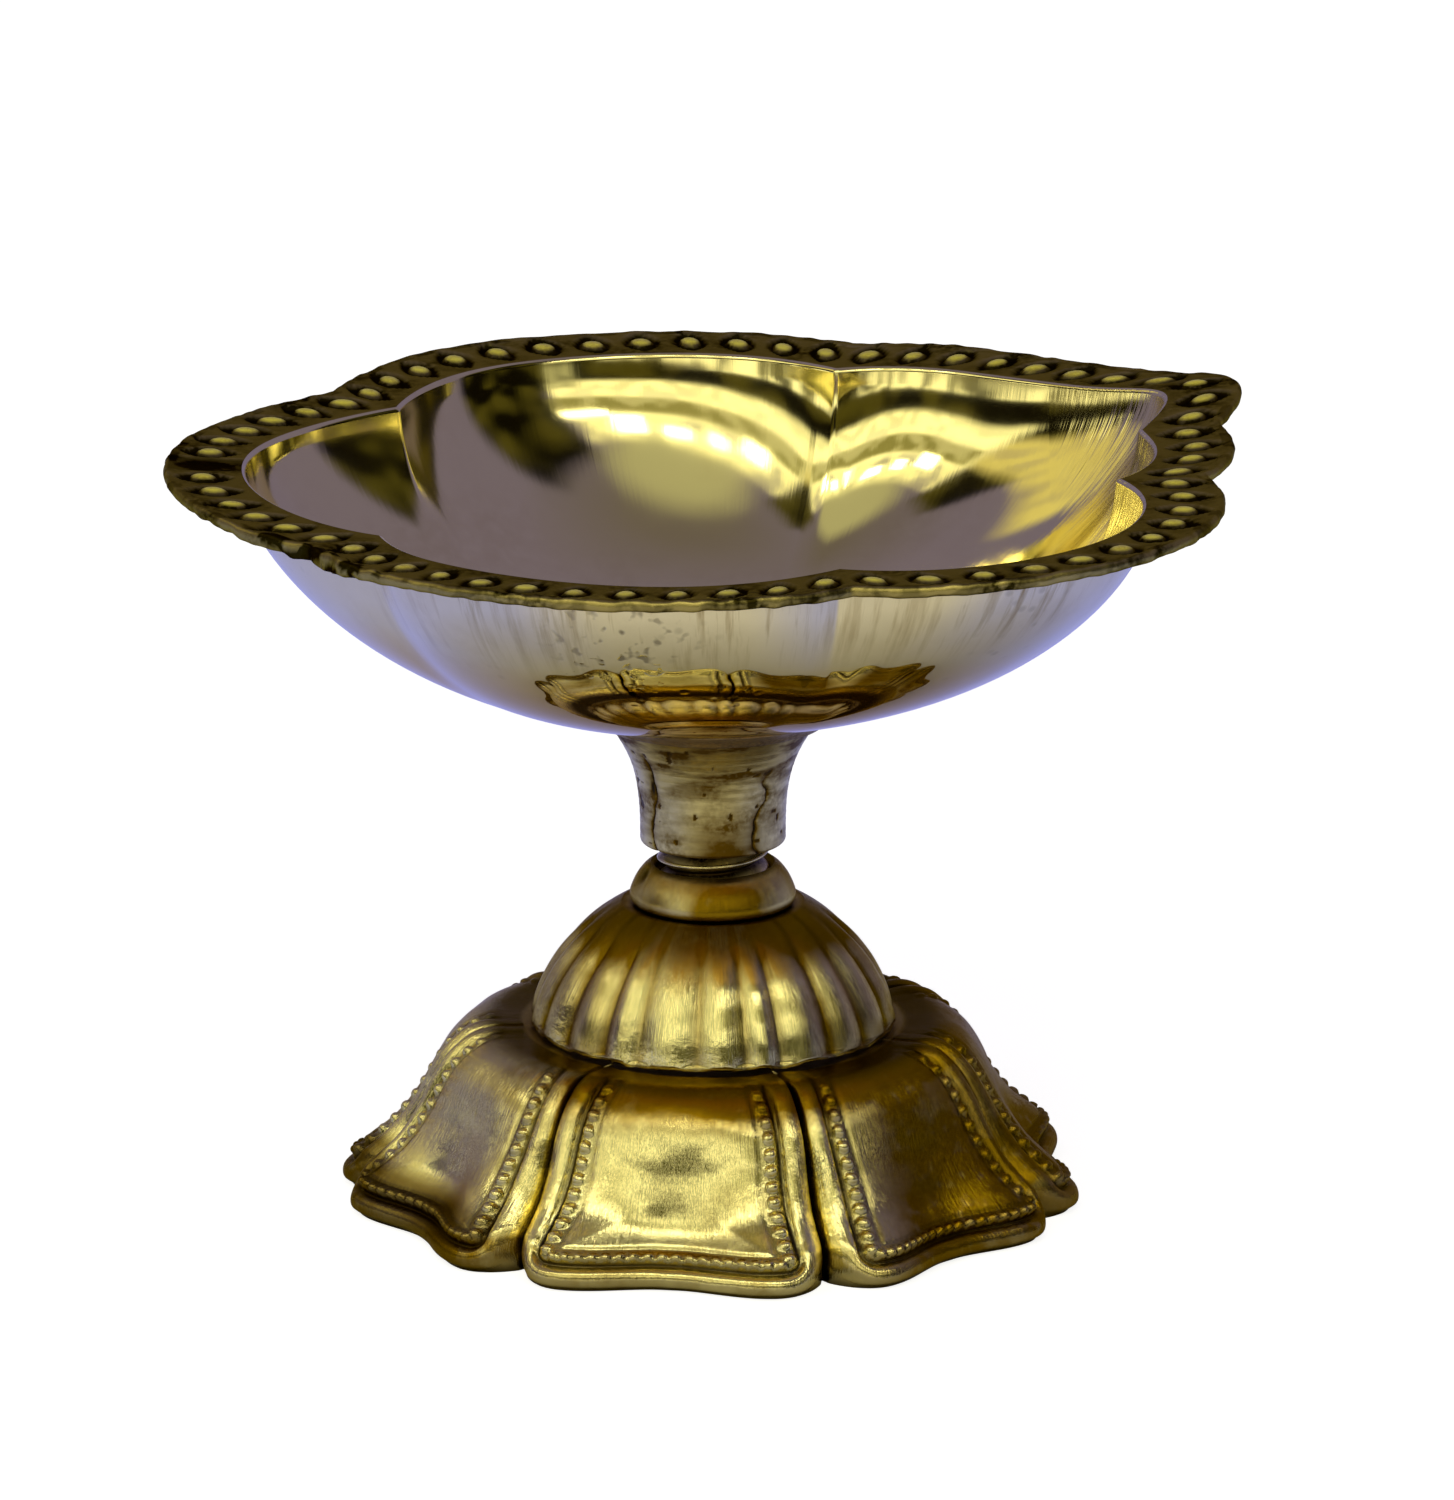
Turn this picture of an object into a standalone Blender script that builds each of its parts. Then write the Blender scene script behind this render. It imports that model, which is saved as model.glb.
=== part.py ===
"""A brass oil lamp: a leaf-shaped bowl on a turned stem that screws into a domed, petalled foot.

The frame is the lamp standing on a table: origin on the foot's axis at table height, +Z up,
and the bowl's wick tip towards -X.
"""

import math

import bpy
from mathutils import Vector

MM = 0.001

# Driving dimensions.
RIM_Z = 64.0 * MM                # the bowl's inner edge
BOWL_BASE_Z = 43.0 * MM          # underside of the bowl at its middle
BOWL_FLOOR_RADIUS = 37.0 * MM    # the round plan that the bowl's lower part keeps
BOWL_WALL = 1.0 * MM
FLANGE_WIDTH = 6.2 * MM
FLANGE_THICKNESS = 1.0 * MM
FLANGE_RISE = 0.5 * MM           # the flange's outer edge stands this much above its inner edge

THREAD_RADIUS = 4.76 * MM        # 3/8 inch thread
THREAD_CLEARANCE = 0.07 * MM
STUD_TOP_Z = 41.9 * MM
STUD_TIP_Z = 22.65 * MM

COLLAR_BASE_Z = 30.95 * MM
COLLAR_BASE_RADIUS = 6.2 * MM
COLLAR_TOP_RADIUS = 10.3 * MM
BUSH_TOP_Z = 29.0 * MM
BUSH_RADIUS = 7.05 * MM
DOME_TOP_Z = 25.5 * MM
DOME_EDGE_Z = 15.1 * MM
DOME_EDGE_RADIUS = 15.9 * MM
DOME_HEIGHT_RADIUS = 14.8 * MM   # vertical radius of the ellipse that the dome follows
DOME_CENTRE_Z = 12.6 * MM
DOME_WALL = 2.0 * MM
CROWN_BORE = 6.1 * MM            # hole in the dome's crown, for the bush's spigot
FLUTES = 20
FLUTE_DEPTH = 0.45 * MM

SEAT_Z = 14.8 * MM               # the ledge that the dome stands on
SEAT_INNER_RADIUS = 11.5 * MM
SKIRT_WALL = 2.2 * MM
PETALS = 7
PETAL_TURN = math.radians(-72.0)  # where the first valley between two petals lies, from +X

GAP = 0.3 * MM                   # between neighbouring solids
ROUND_STEPS = 48

BRASS = (0.80, 0.60, 0.20, 1.0)
DARK_BRASS = (0.36, 0.30, 0.24, 1.0)
SOLDER = (0.45, 0.36, 0.20, 1.0)


# ---------------------------------------------------------------- scene and materials

def clear_scene():
    for old in list(bpy.data.objects):
        bpy.data.objects.remove(old, do_unlink=True)


def metal(name, colour, roughness):
    material = bpy.data.materials.new(name)
    material.use_nodes = True
    shader = material.node_tree.nodes["Principled BSDF"]
    shader.inputs["Base Color"].default_value = colour
    shader.inputs["Metallic"].default_value = 1.0
    shader.inputs["Roughness"].default_value = roughness
    return material


def mesh_object(name, mesh, material, smooth_below=35.0):
    """Adds a mesh to the lamp's collection as one sub-part, shaded smooth up to an edge angle."""
    mesh.materials.append(material)
    mesh.shade_smooth()
    mesh.set_sharp_from_angle(angle=math.radians(smooth_below))
    part = bpy.data.objects.new(name, mesh)
    lamp_collection.objects.link(part)
    return part


# ---------------------------------------------------------------- shape helpers

def turned(name, profile, material):
    """A closed section in (radius, height), its outer side running down, turned about Z."""
    mesh = bpy.data.meshes.new(name)
    points = [(radius, 0.0, height) for radius, height in profile]
    edges = [(i, (i + 1) % len(points)) for i in range(len(points))]
    mesh.from_pydata(points, edges, [])
    part = bpy.data.objects.new(name, mesh)
    mesh.materials.append(material)
    lamp_collection.objects.link(part)
    screw = part.modifiers.new("turn", "SCREW")
    screw.steps = ROUND_STEPS
    screw.render_steps = ROUND_STEPS
    screw.merge_threshold = 0.00001
    screw.use_merge_vertices = True
    screw.use_smooth_shade = True
    return part


def loft(name, rings, material, capped):
    """Faces between successive rings of points. Without caps the last ring joins the first one."""
    count = len(rings[0])
    points = [point for ring in rings for point in ring]
    spans = len(rings) - 1 if capped else len(rings)
    faces = []
    for level in range(spans):
        low = level * count
        high = (level + 1) % len(rings) * count
        for i in range(count):
            j = (i + 1) % count
            faces.append((low + i, low + j, high + j, high + i))
    if capped:
        faces.append(tuple(reversed(range(count))))
        faces.append(tuple(range(len(points) - count, len(points))))
    mesh = bpy.data.meshes.new(name)
    mesh.from_pydata(points, [], faces)
    mesh.update()
    return mesh_object(name, mesh, material)


# ---------------------------------------------------------------- bowl

# Plan of the bowl's inner edge, for y > 0: the corners between lobes, and how far each lobe
# bulges past the straight line between its corners. The other half is its mirror image.
REAR_CORNER = Vector((36.4, 9.3)) * MM
SIDE_CORNER = Vector((7.3, 34.4)) * MM
TIP_CORNER = Vector((-27.0, 21.6)) * MM
CENTRE_BULGE = 2.4 * MM
REAR_BULGE = 11.3 * MM
SIDE_BULGE = 11.0 * MM
TIP_BULGE = 11.8 * MM


def mirrored(point):
    return Vector((point.x, -point.y))


def lobe_circle(start, end, bulge):
    """Centre and radius of the circle through two corners that bulges outwards between them."""
    chord = end - start
    middle = (start + end) / 2
    outward = Vector((chord.y, -chord.x)).normalized()
    if outward.dot(middle) < 0:
        outward.negate()
    radius = (chord.length_squared / 4 + bulge * bulge) / (2 * bulge)
    return middle - outward * (radius - bulge), radius


# Anticlockwise from the centre lobe: circle and number of steps along it.
LOBES = [
    (lobe_circle(mirrored(REAR_CORNER), REAR_CORNER, CENTRE_BULGE), 6),
    (lobe_circle(REAR_CORNER, SIDE_CORNER, REAR_BULGE), 12),
    (lobe_circle(SIDE_CORNER, TIP_CORNER, SIDE_BULGE), 12),
    (lobe_circle(TIP_CORNER, mirrored(TIP_CORNER), TIP_BULGE), 14),
    (lobe_circle(mirrored(TIP_CORNER), mirrored(SIDE_CORNER), SIDE_BULGE), 12),
    (lobe_circle(mirrored(SIDE_CORNER), mirrored(REAR_CORNER), REAR_BULGE), 12),
]


def outer_crossing(first, second):
    """Where two circles cross, on the side away from the bowl's middle."""
    (centre_a, radius_a), (centre_b, radius_b) = first, second
    across = centre_b - centre_a
    distance = across.length
    along = (distance ** 2 + radius_a ** 2 - radius_b ** 2) / (2 * distance)
    side = Vector((-across.y, across.x)) / distance * math.sqrt(radius_a ** 2 - along ** 2)
    foot = centre_a + across * (along / distance)
    return max(foot + side, foot - side, key=lambda point: point.length)


def lobed_outline(offset):
    """The bowl's plan, moved outwards by an offset, with the same steps at every offset."""
    grown = [((centre, radius + offset), steps) for (centre, radius), steps in LOBES]
    corners = [
        outer_crossing(grown[i - 1][0], grown[i][0]) for i in range(len(grown))
    ]
    outline = []
    for i, ((centre, _), steps) in enumerate(grown):
        start = corners[i] - centre
        end = corners[(i + 1) % len(grown)] - centre
        turn = start.angle_signed(end)
        sweep = -turn if turn < 0 else 2 * math.pi - turn
        for step in range(steps):
            angle = math.atan2(start.y, start.x) + sweep * step / steps
            outline.append(centre + Vector((math.cos(angle), math.sin(angle))) * start.length)
    return outline


def bowl_wall(base_z, offset, fractions):
    """Rings of one face of the bowl's wall, round at the floor and lobed towards the rim."""
    outline = lobed_outline(offset)
    rings = []
    for fraction in fractions:
        lobed = fraction ** 3
        height = base_z + (RIM_Z - base_z) * (1 - (1 - fraction ** 2.6) ** 0.6)
        ring = []
        for point in outline:
            round_radius = BOWL_FLOOR_RADIUS + offset
            radius = fraction * ((1 - lobed) * round_radius + lobed * point.length)
            spot = point.normalized() * radius
            ring.append((spot.x, spot.y, height))
        rings.append(ring)
    return rings


def level_ring(offset, height):
    return [(point.x, point.y, height) for point in lobed_outline(offset)]


def build_bowl():
    inner_edge = -0.7 * MM
    outer_wall = inner_edge + BOWL_WALL
    under_flange_z = RIM_Z - FLANGE_THICKNESS
    outside = bowl_wall(BOWL_BASE_Z, outer_wall, (0.12, 0.3, 0.48, 0.64, 0.78, 0.89, 0.96, 0.99))
    flange = [
        level_ring(outer_wall, under_flange_z),
        level_ring(FLANGE_WIDTH - 0.3 * MM, under_flange_z + FLANGE_RISE),
        level_ring(FLANGE_WIDTH, under_flange_z + FLANGE_RISE + 0.3 * MM),
        level_ring(FLANGE_WIDTH, RIM_Z + FLANGE_RISE - 0.3 * MM),
        level_ring(FLANGE_WIDTH - 0.3 * MM, RIM_Z + FLANGE_RISE),
        level_ring(inner_edge, RIM_Z),
    ]
    inside = bowl_wall(
        BOWL_BASE_Z + BOWL_WALL, inner_edge, (0.99, 0.95, 0.88, 0.77, 0.63, 0.47, 0.3, 0.12)
    )
    return loft("bowl", outside + flange + inside, bowl_brass, capped=True)


# ---------------------------------------------------------------- stem and thread

def build_stem_collar():
    bore = THREAD_RADIUS + THREAD_CLEARANCE
    top_z = BOWL_BASE_Z - GAP
    flare = []
    for step in range(8):
        share = 1 - step / 8
        radius = COLLAR_BASE_RADIUS + (COLLAR_TOP_RADIUS - COLLAR_BASE_RADIUS) * share ** 3
        flare.append((radius, COLLAR_BASE_Z + (top_z - COLLAR_BASE_Z) * share))
    chamfer = 0.25 * MM
    foot = [
        (COLLAR_BASE_RADIUS, COLLAR_BASE_Z + chamfer),
        (COLLAR_BASE_RADIUS - chamfer, COLLAR_BASE_Z),
        (bore, COLLAR_BASE_Z),
    ]
    return turned("stem_collar", [(bore, top_z)] + flare + foot, stem_brass)


def build_bowl_braze():
    """The fillet of braze round the collar's top, under the bowl."""
    top_z = BOWL_BASE_Z
    inner = COLLAR_TOP_RADIUS + GAP
    profile = [
        (inner + 1.6 * MM, top_z),
        (inner + 0.6 * MM, top_z - 0.6 * MM),
        (inner, top_z - 0.9 * MM),
        (inner, top_z),
    ]
    return turned("bowl_braze", profile, braze)


def build_stem_stud():
    height = STUD_TOP_Z - STUD_TIP_Z
    bpy.ops.mesh.primitive_cylinder_add(
        vertices=ROUND_STEPS,
        radius=THREAD_RADIUS,
        depth=height,
        location=(0.0, 0.0, STUD_TIP_Z + height / 2),
    )
    stud = bpy.context.active_object
    for holder in list(stud.users_collection):
        holder.objects.unlink(stud)
    lamp_collection.objects.link(stud)
    stud.name = "stem_stud"
    stud.data.materials.append(plain_brass)
    stud.data.shade_smooth()
    stud.data.set_sharp_from_angle(angle=math.radians(35))
    chamfer = stud.modifiers.new("chamfer", "BEVEL")
    chamfer.width = 0.6 * MM
    chamfer.segments = 1
    chamfer.limit_method = "ANGLE"
    return stud


def build_threaded_bush():
    """A rounded collar on top of the dome, with a threaded spigot down through the dome's crown."""
    bore = THREAD_RADIUS + THREAD_CLEARANCE
    under_z = DOME_TOP_Z + GAP
    spigot = CROWN_BORE - GAP
    profile = [
        (bore, BUSH_TOP_Z),
        (BUSH_RADIUS - 1.6 * MM, BUSH_TOP_Z),
        (BUSH_RADIUS - 1.1 * MM, BUSH_TOP_Z - 0.5 * MM),
        (BUSH_RADIUS - 0.6 * MM, BUSH_TOP_Z - 1.2 * MM),
        (BUSH_RADIUS - 0.2 * MM, BUSH_TOP_Z - 2.0 * MM),
        (BUSH_RADIUS, under_z + 0.5 * MM),
        (BUSH_RADIUS - 0.15 * MM, under_z + 0.1 * MM),
        (BUSH_RADIUS - 0.4 * MM, under_z),
        (spigot, under_z),
        (spigot, STUD_TIP_Z - GAP),
        (bore, STUD_TIP_Z - GAP),
    ]
    return turned("threaded_bush", profile, foot_brass)


def build_bush_braze():
    """The fillet of braze between the spigot and the underside of the dome's crown."""
    top_z = DOME_TOP_Z - DOME_WALL - GAP
    inner = CROWN_BORE
    profile = [
        (inner + 1.3 * MM, top_z),
        (inner, top_z - 1.1 * MM),
        (inner, top_z),
    ]
    return turned("bush_braze", profile, braze)


# ---------------------------------------------------------------- foot

def dome_radius(height):
    level = (height - DOME_CENTRE_Z) / DOME_HEIGHT_RADIUS
    return DOME_EDGE_RADIUS * math.sqrt(1 - level * level)


def fluted_ring(radius, height, depth):
    """A ring of outward-bulging flutes with narrow valleys, the valleys this deep."""
    steps = FLUTES * 4
    ring = []
    for step in range(steps):
        angle = 2 * math.pi * step / steps
        swell = abs(math.sin(FLUTES * angle / 2))
        here = radius - depth * (1 - swell)
        ring.append((here * math.cos(angle), here * math.sin(angle), height))
    return ring


def build_fluted_dome():
    heights = [DOME_EDGE_Z + (DOME_TOP_Z - DOME_EDGE_Z) * step / 8 for step in range(9)]
    outside = [fluted_ring(dome_radius(z), z, FLUTE_DEPTH) for z in heights]
    crown_z = DOME_TOP_Z - DOME_WALL
    crown = [
        fluted_ring(CROWN_BORE, DOME_TOP_Z, 0.0),
        fluted_ring(CROWN_BORE, crown_z, 0.0),
    ]
    inner_heights = [crown_z - (crown_z - DOME_EDGE_Z) * step / 4 for step in range(5)]
    inside = [fluted_ring(dome_radius(z) - DOME_WALL, z, 0.0) for z in inner_heights]
    return loft("fluted_dome", outside + crown + inside, foot_brass, capped=False)


# Sections of a petal in (radius, height) from its shoulder down to the foot's edge: through its
# middle, where it is narrowest, and along its two ribbed sides, where it flares.
PETAL_MIDDLE = [
    (16.6, 14.9), (19.4, 14.5), (21.7, 12.6), (23.2, 10.2), (24.4, 7.6),
    (25.7, 4.9), (27.2, 3.4), (28.6, 2.5), (29.3, 1.3), (28.9, 0.0),
]
PETAL_SIDE = [
    (16.6, 14.9), (19.6, 14.7), (22.0, 13.0), (23.8, 10.6), (25.2, 8.2),
    (27.2, 5.8), (29.6, 4.0), (31.1, 3.0), (31.8, 1.6), (31.3, 0.0),
]
VALLEY_DEPTH = [0.0, 0.7, 1.0, 1.2, 1.4, 1.6, 1.8, 1.8, 1.8, 1.8]
VALLEY_HALF_ANGLE = 0.12         # as a part of half a petal


def petal_spot(level, angle, inset):
    """A point of the skirt at one level of its section, and at an angle round it."""
    pitch = 2 * math.pi / PETALS
    across = (angle / pitch) % 1.0 * 2 - 1
    side = abs(across) ** 2.5
    middle_radius, middle_z = PETAL_MIDDLE[level]
    side_radius, side_z = PETAL_SIDE[level]
    near_valley = max(0.0, (abs(across) - 1 + VALLEY_HALF_ANGLE) / VALLEY_HALF_ANGLE)
    radius = middle_radius * (1 - side) + side_radius * side - VALLEY_DEPTH[level] * near_valley
    height = middle_z * (1 - side) + side_z * side
    radius = radius * MM - inset
    turned_angle = angle + PETAL_TURN
    return (radius * math.cos(turned_angle), radius * math.sin(turned_angle), height * MM)


def petal_ring(level, inset, height=None):
    pitch = 2 * math.pi / PETALS
    shares = (0.0, 0.06, 0.12, 0.22, 0.36, 0.5, 0.64, 0.78, 0.88, 0.94)
    ring = []
    for petal in range(PETALS):
        for share in shares:
            x, y, z = petal_spot(level, (petal + share) * pitch, inset)
            ring.append((x, y, z if height is None else height))
    return ring


def seat_ring(radius, height):
    template = petal_ring(0, 0.0)
    ring = []
    for x, y, _ in template:
        length = math.hypot(x, y)
        ring.append((x / length * radius, y / length * radius, height))
    return ring


def build_petal_skirt():
    last = len(PETAL_MIDDLE) - 1
    outside = [petal_ring(level, 0.0) for level in range(last + 1)]
    inside = [
        petal_ring(last, SKIRT_WALL, 0.0),
        petal_ring(last - 2, SKIRT_WALL),
        petal_ring(5, SKIRT_WALL),
        petal_ring(3, SKIRT_WALL),
        petal_ring(1, SKIRT_WALL, SEAT_Z - 2.4 * MM),
    ]
    ledge = [
        seat_ring(SEAT_INNER_RADIUS, SEAT_Z - 2.0 * MM),
        seat_ring(SEAT_INNER_RADIUS, SEAT_Z),
    ]
    seat = [seat_ring(DOME_EDGE_RADIUS + 0.2 * MM, SEAT_Z)]
    rings = seat + outside + inside + ledge
    rings.reverse()
    return loft("petal_skirt", rings, foot_brass, capped=False)


def build_skirt_braze():
    """The fillet of solder inside, between the dome's wall and the ledge that it stands on."""
    low_z = SEAT_Z + GAP
    outer = DOME_EDGE_RADIUS - DOME_WALL - GAP
    profile = [
        (outer - 0.7 * MM, low_z + 1.6 * MM),
        (outer - 0.1 * MM, low_z),
        (outer - 1.7 * MM, low_z),
    ]
    return turned("skirt_braze", profile, braze)


# ---------------------------------------------------------------- the lamp

clear_scene()
lamp_collection = bpy.data.collections.new("oil_lamp")
bpy.context.scene.collection.children.link(lamp_collection)

bowl_brass = metal("bowl_brass", DARK_BRASS, 0.28)
stem_brass = metal("stem_brass", BRASS, 0.35)
plain_brass = metal("plain_brass", BRASS, 0.3)
foot_brass = metal("foot_brass", BRASS, 0.22)
braze = metal("braze", SOLDER, 0.5)

screw_axis = bpy.data.objects.new("screw_axis", None)
lamp_collection.objects.link(screw_axis)
for turning_part in (build_bowl(), build_stem_collar(), build_bowl_braze(), build_stem_stud()):
    turning_part.parent = screw_axis

build_threaded_bush()
build_bush_braze()
build_fluted_dome()
build_petal_skirt()
build_skirt_braze()
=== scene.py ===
"""The brass oil lamp as it looks: cast, turned, polished in places and tarnished in others.

Every visible node of the frame is replaced by a piece with its full relief: the beaded flange,
the cut thread, the fluted dome and the bordered petals. Shade is painted into their grooves, seams,
recesses and darker sides.
"""

import math

import bmesh
import bpy
import numpy as np
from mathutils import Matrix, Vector


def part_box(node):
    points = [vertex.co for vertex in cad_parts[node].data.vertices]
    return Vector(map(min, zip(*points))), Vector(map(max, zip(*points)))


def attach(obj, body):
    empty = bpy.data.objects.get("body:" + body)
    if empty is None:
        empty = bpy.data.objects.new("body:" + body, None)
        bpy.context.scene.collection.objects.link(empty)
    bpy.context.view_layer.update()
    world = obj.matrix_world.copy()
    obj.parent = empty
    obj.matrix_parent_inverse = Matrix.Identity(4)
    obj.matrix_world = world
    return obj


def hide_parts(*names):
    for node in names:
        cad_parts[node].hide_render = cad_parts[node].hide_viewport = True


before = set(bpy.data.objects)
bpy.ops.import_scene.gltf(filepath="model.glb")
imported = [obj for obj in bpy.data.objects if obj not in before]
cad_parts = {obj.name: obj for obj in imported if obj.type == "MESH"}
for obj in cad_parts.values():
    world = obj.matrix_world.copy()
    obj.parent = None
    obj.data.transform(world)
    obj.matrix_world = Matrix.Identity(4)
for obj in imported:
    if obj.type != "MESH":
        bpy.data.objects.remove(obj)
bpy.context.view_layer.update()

MM = 0.001


# ---------------------------------------------------------------- sizes taken from the frame

def low_z(node):
    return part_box(node)[0].z


def high_z(node):
    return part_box(node)[1].z


FLANGE_RISE = 0.5 * MM           # the flange's outer edge stands this much above its inner edge
FLANGE_THICKNESS = 1.0 * MM
FLANGE_WIDTH = 6.2 * MM
FLANGE_ROUND = 0.45 * MM         # how far in the rounding of its outer edge starts
INNER_ROUND = 0.4 * MM           # the rounding where it turns down into the bowl
BOWL_WALL = 1.0 * MM
RIM_Z = high_z("bowl") - FLANGE_RISE
BOWL_BASE_Z = high_z("stem_collar") + 0.3 * MM
BOWL_FLOOR_RADIUS = 37.0 * MM

COLLAR_BASE_Z = low_z("stem_collar")
COLLAR_TOP_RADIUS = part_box("stem_collar")[1].x
COLLAR_BASE_RADIUS = 6.2 * MM
THREAD_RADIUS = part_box("stem_stud")[1].x
THREAD_PITCH = 1.5875 * MM
BUSH_TOP_Z = high_z("threaded_bush")
BUSH_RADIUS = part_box("threaded_bush")[1].x
BUSH_SPIGOT_Z = low_z("threaded_bush")
DOME_TOP_Z = high_z("fluted_dome")
DOME_EDGE_Z = low_z("fluted_dome")
DOME_EDGE_RADIUS = 15.9 * MM
DOME_HEIGHT_RADIUS = 14.8 * MM
DOME_CENTRE_Z = 12.6 * MM
DOME_WALL = 2.0 * MM
CROWN_BORE = 6.1 * MM
FLUTES = 22
FLUTE_DEPTH = 0.70 * MM
DOME_FRONT = math.radians(-92)   # the heading of its lightest flutes; away from it the flutes get painted shade
SEAT_Z = DOME_EDGE_Z - 0.3 * MM
SEAT_INNER_RADIUS = 11.5 * MM
SKIRT_WALL = 2.2 * MM
PETALS = 7
PETAL_EDGES = (-70.5, -20.8, 30.9, 82.6, 134.3, 186.0, 235.5, 289.5)  # valleys, in degrees


# ---------------------------------------------------------------- small tools

def step_up(value, low, high):
    """A smooth step from 0 at low to 1 at high."""
    share = np.clip((value - low) / (high - low), 0.0, 1.0)
    return share * share * (3 - 2 * share)


def hump(value, centre, half_width):
    """A round hump of height 1 that ends at its half width."""
    return np.clip(1 - ((value - centre) / half_width) ** 2, 0.0, None)


def lattice(i, j, k, seed):
    """A repeatable number from 0 to 1 for each lattice point."""
    mixed = np.sin(i * 127.1 + j * 311.7 + k * 74.7 + seed * 53.3) * 43758.5453
    return mixed - np.floor(mixed)


def bumps(points, size, seed=0):
    """Smooth random bumps from -1 to 1 over points of shape (..., 3), each about this size."""
    scaled = points / size
    cell = np.floor(scaled)
    share = scaled - cell
    share = share * share * (3 - 2 * share)
    total = 0.0
    for i in (0, 1):
        for j in (0, 1):
            for k in (0, 1):
                weight = 1.0
                for axis, corner in enumerate((i, j, k)):
                    part = share[..., axis]
                    weight = weight * (part if corner else 1 - part)
                total = total + weight * lattice(
                    cell[..., 0] + i, cell[..., 1] + j, cell[..., 2] + k, seed
                )
    return total * 2 - 1


def curve_through(points, count):
    """A smooth curve through a few points, sampled evenly along its length."""
    points = np.array(points, float)
    padded = np.vstack([2 * points[0] - points[1], points, 2 * points[-1] - points[-2]])
    fine = []
    for a, b, c, d in zip(padded, padded[1:], padded[2:], padded[3:]):
        for share in np.linspace(0, 1, 24, endpoint=False):
            fine.append(0.5 * (
                2 * b + (c - a) * share + (2 * a - 5 * b + 4 * c - d) * share ** 2
                + (3 * b - a - 3 * c + d) * share ** 3
            ))
    fine = np.array(fine + [points[-1]])
    length = np.concatenate([[0], np.cumsum(np.linalg.norm(np.diff(fine, axis=0), axis=1))])
    even = np.linspace(0, length[-1], count)
    return np.stack([np.interp(even, length, fine[:, i]) for i in range(points.shape[1])], -1)


def skin(name, rings, closed_section, attributes=None, slots=None):
    """A mesh from rings of points, shape (rings, around, 3).

    A closed section joins its last ring to its first; an open one gets a cap at each end.
    Attributes are point values over the same grid. Slots give each ring of faces its material.
    """
    rows, around = rings.shape[:2]
    index = np.arange(rows * around).reshape(rows, around)
    below = index if closed_section else index[:-1]
    above = np.roll(index, -1, axis=0) if closed_section else index[1:]
    quads = np.stack(
        [below, np.roll(below, -1, axis=1), np.roll(above, -1, axis=1), above], -1
    ).reshape(-1, 4)
    faces = quads.tolist()
    if not closed_section:
        faces.append(index[0][::-1].tolist())
        faces.append(index[-1].tolist())
    mesh = bpy.data.meshes.new(name)
    mesh.from_pydata(rings.reshape(-1, 3).tolist(), [], faces)
    mesh.update()
    for label, values in (attributes or {}).items():
        layer = mesh.attributes.new(label, "FLOAT", "POINT")
        layer.data.foreach_set("value", np.asarray(values, np.float32).reshape(-1))
    if slots is not None:
        per_face = np.repeat(np.asarray(slots, np.int32), around)
        if not closed_section:
            per_face = np.concatenate([per_face, [slots[0], slots[-1]]]).astype(np.int32)
        mesh.polygons.foreach_set("material_index", per_face)
    mesh.shade_smooth()
    piece = bpy.data.objects.new(name, mesh)
    bpy.context.scene.collection.objects.link(piece)
    return piece


def spun(profile, around):
    """Rings of a profile of (radius, height) turned about the axis, with their angles."""
    angle = np.linspace(0, 2 * math.pi, around, endpoint=False)
    radius = np.repeat(profile[:, :1], around, axis=1)
    height = np.repeat(profile[:, 1:2], around, axis=1)
    return radius, height, np.repeat(angle[None, :], len(profile), axis=0)


def placed(radius, height, angle):
    return np.stack([radius * np.cos(angle), radius * np.sin(angle), height], -1)


# ---------------------------------------------------------------- shader tools

def fill(tree, made, inputs):
    """Links an output, or sets a plain value, on each named input of a node."""
    for key, value in inputs.items():
        if isinstance(value, bpy.types.NodeSocket):
            tree.links.new(value, made.inputs[key])
        else:
            made.inputs[key].default_value = value


def add(tree, kind, inputs=None, **settings):
    """Adds a shader node, sets its settings, and fills its inputs."""
    made = tree.nodes.new("ShaderNode" + kind)
    for key, value in settings.items():
        setattr(made, key, value)
    fill(tree, made, inputs or {})
    return made


def maths(tree, operation, first, second=0.5, clamp=False):
    return add(tree, "Math", {0: first, 1: second}, operation=operation, use_clamp=clamp).outputs[0]


def times(tree, first, second):
    return maths(tree, "MULTIPLY", first, second)


def plus(tree, first, second, clamp=False):
    return maths(tree, "ADD", first, second, clamp)


def on_piece(tree):
    """The place on the piece, in its own metres."""
    return add(tree, "TexCoord").outputs["Object"]


def axes(tree, vector):
    return add(tree, "SeparateXYZ", {0: vector}).outputs


def noise(tree, place, scale, detail):
    return add(tree, "TexNoise", {"Vector": place, "Scale": scale, "Detail": detail}).outputs["Fac"]


def distance_to(tree, place, spot):
    return add(tree, "VectorMath", {0: place, 1: spot}, operation="DISTANCE").outputs["Value"]


def blended(tree, share, first, second):
    """The mix of two colours."""
    mix = add(tree, "Mix", {0: share, 6: first, 7: second}, data_type="RGBA")
    return mix.outputs[2]


def ranged(tree, value, low, high, to_low=0.0, to_high=1.0):
    return add(
        tree, "MapRange", {0: value, 1: low, 2: high, 3: to_low, 4: to_high}
    ).outputs[0]


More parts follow.
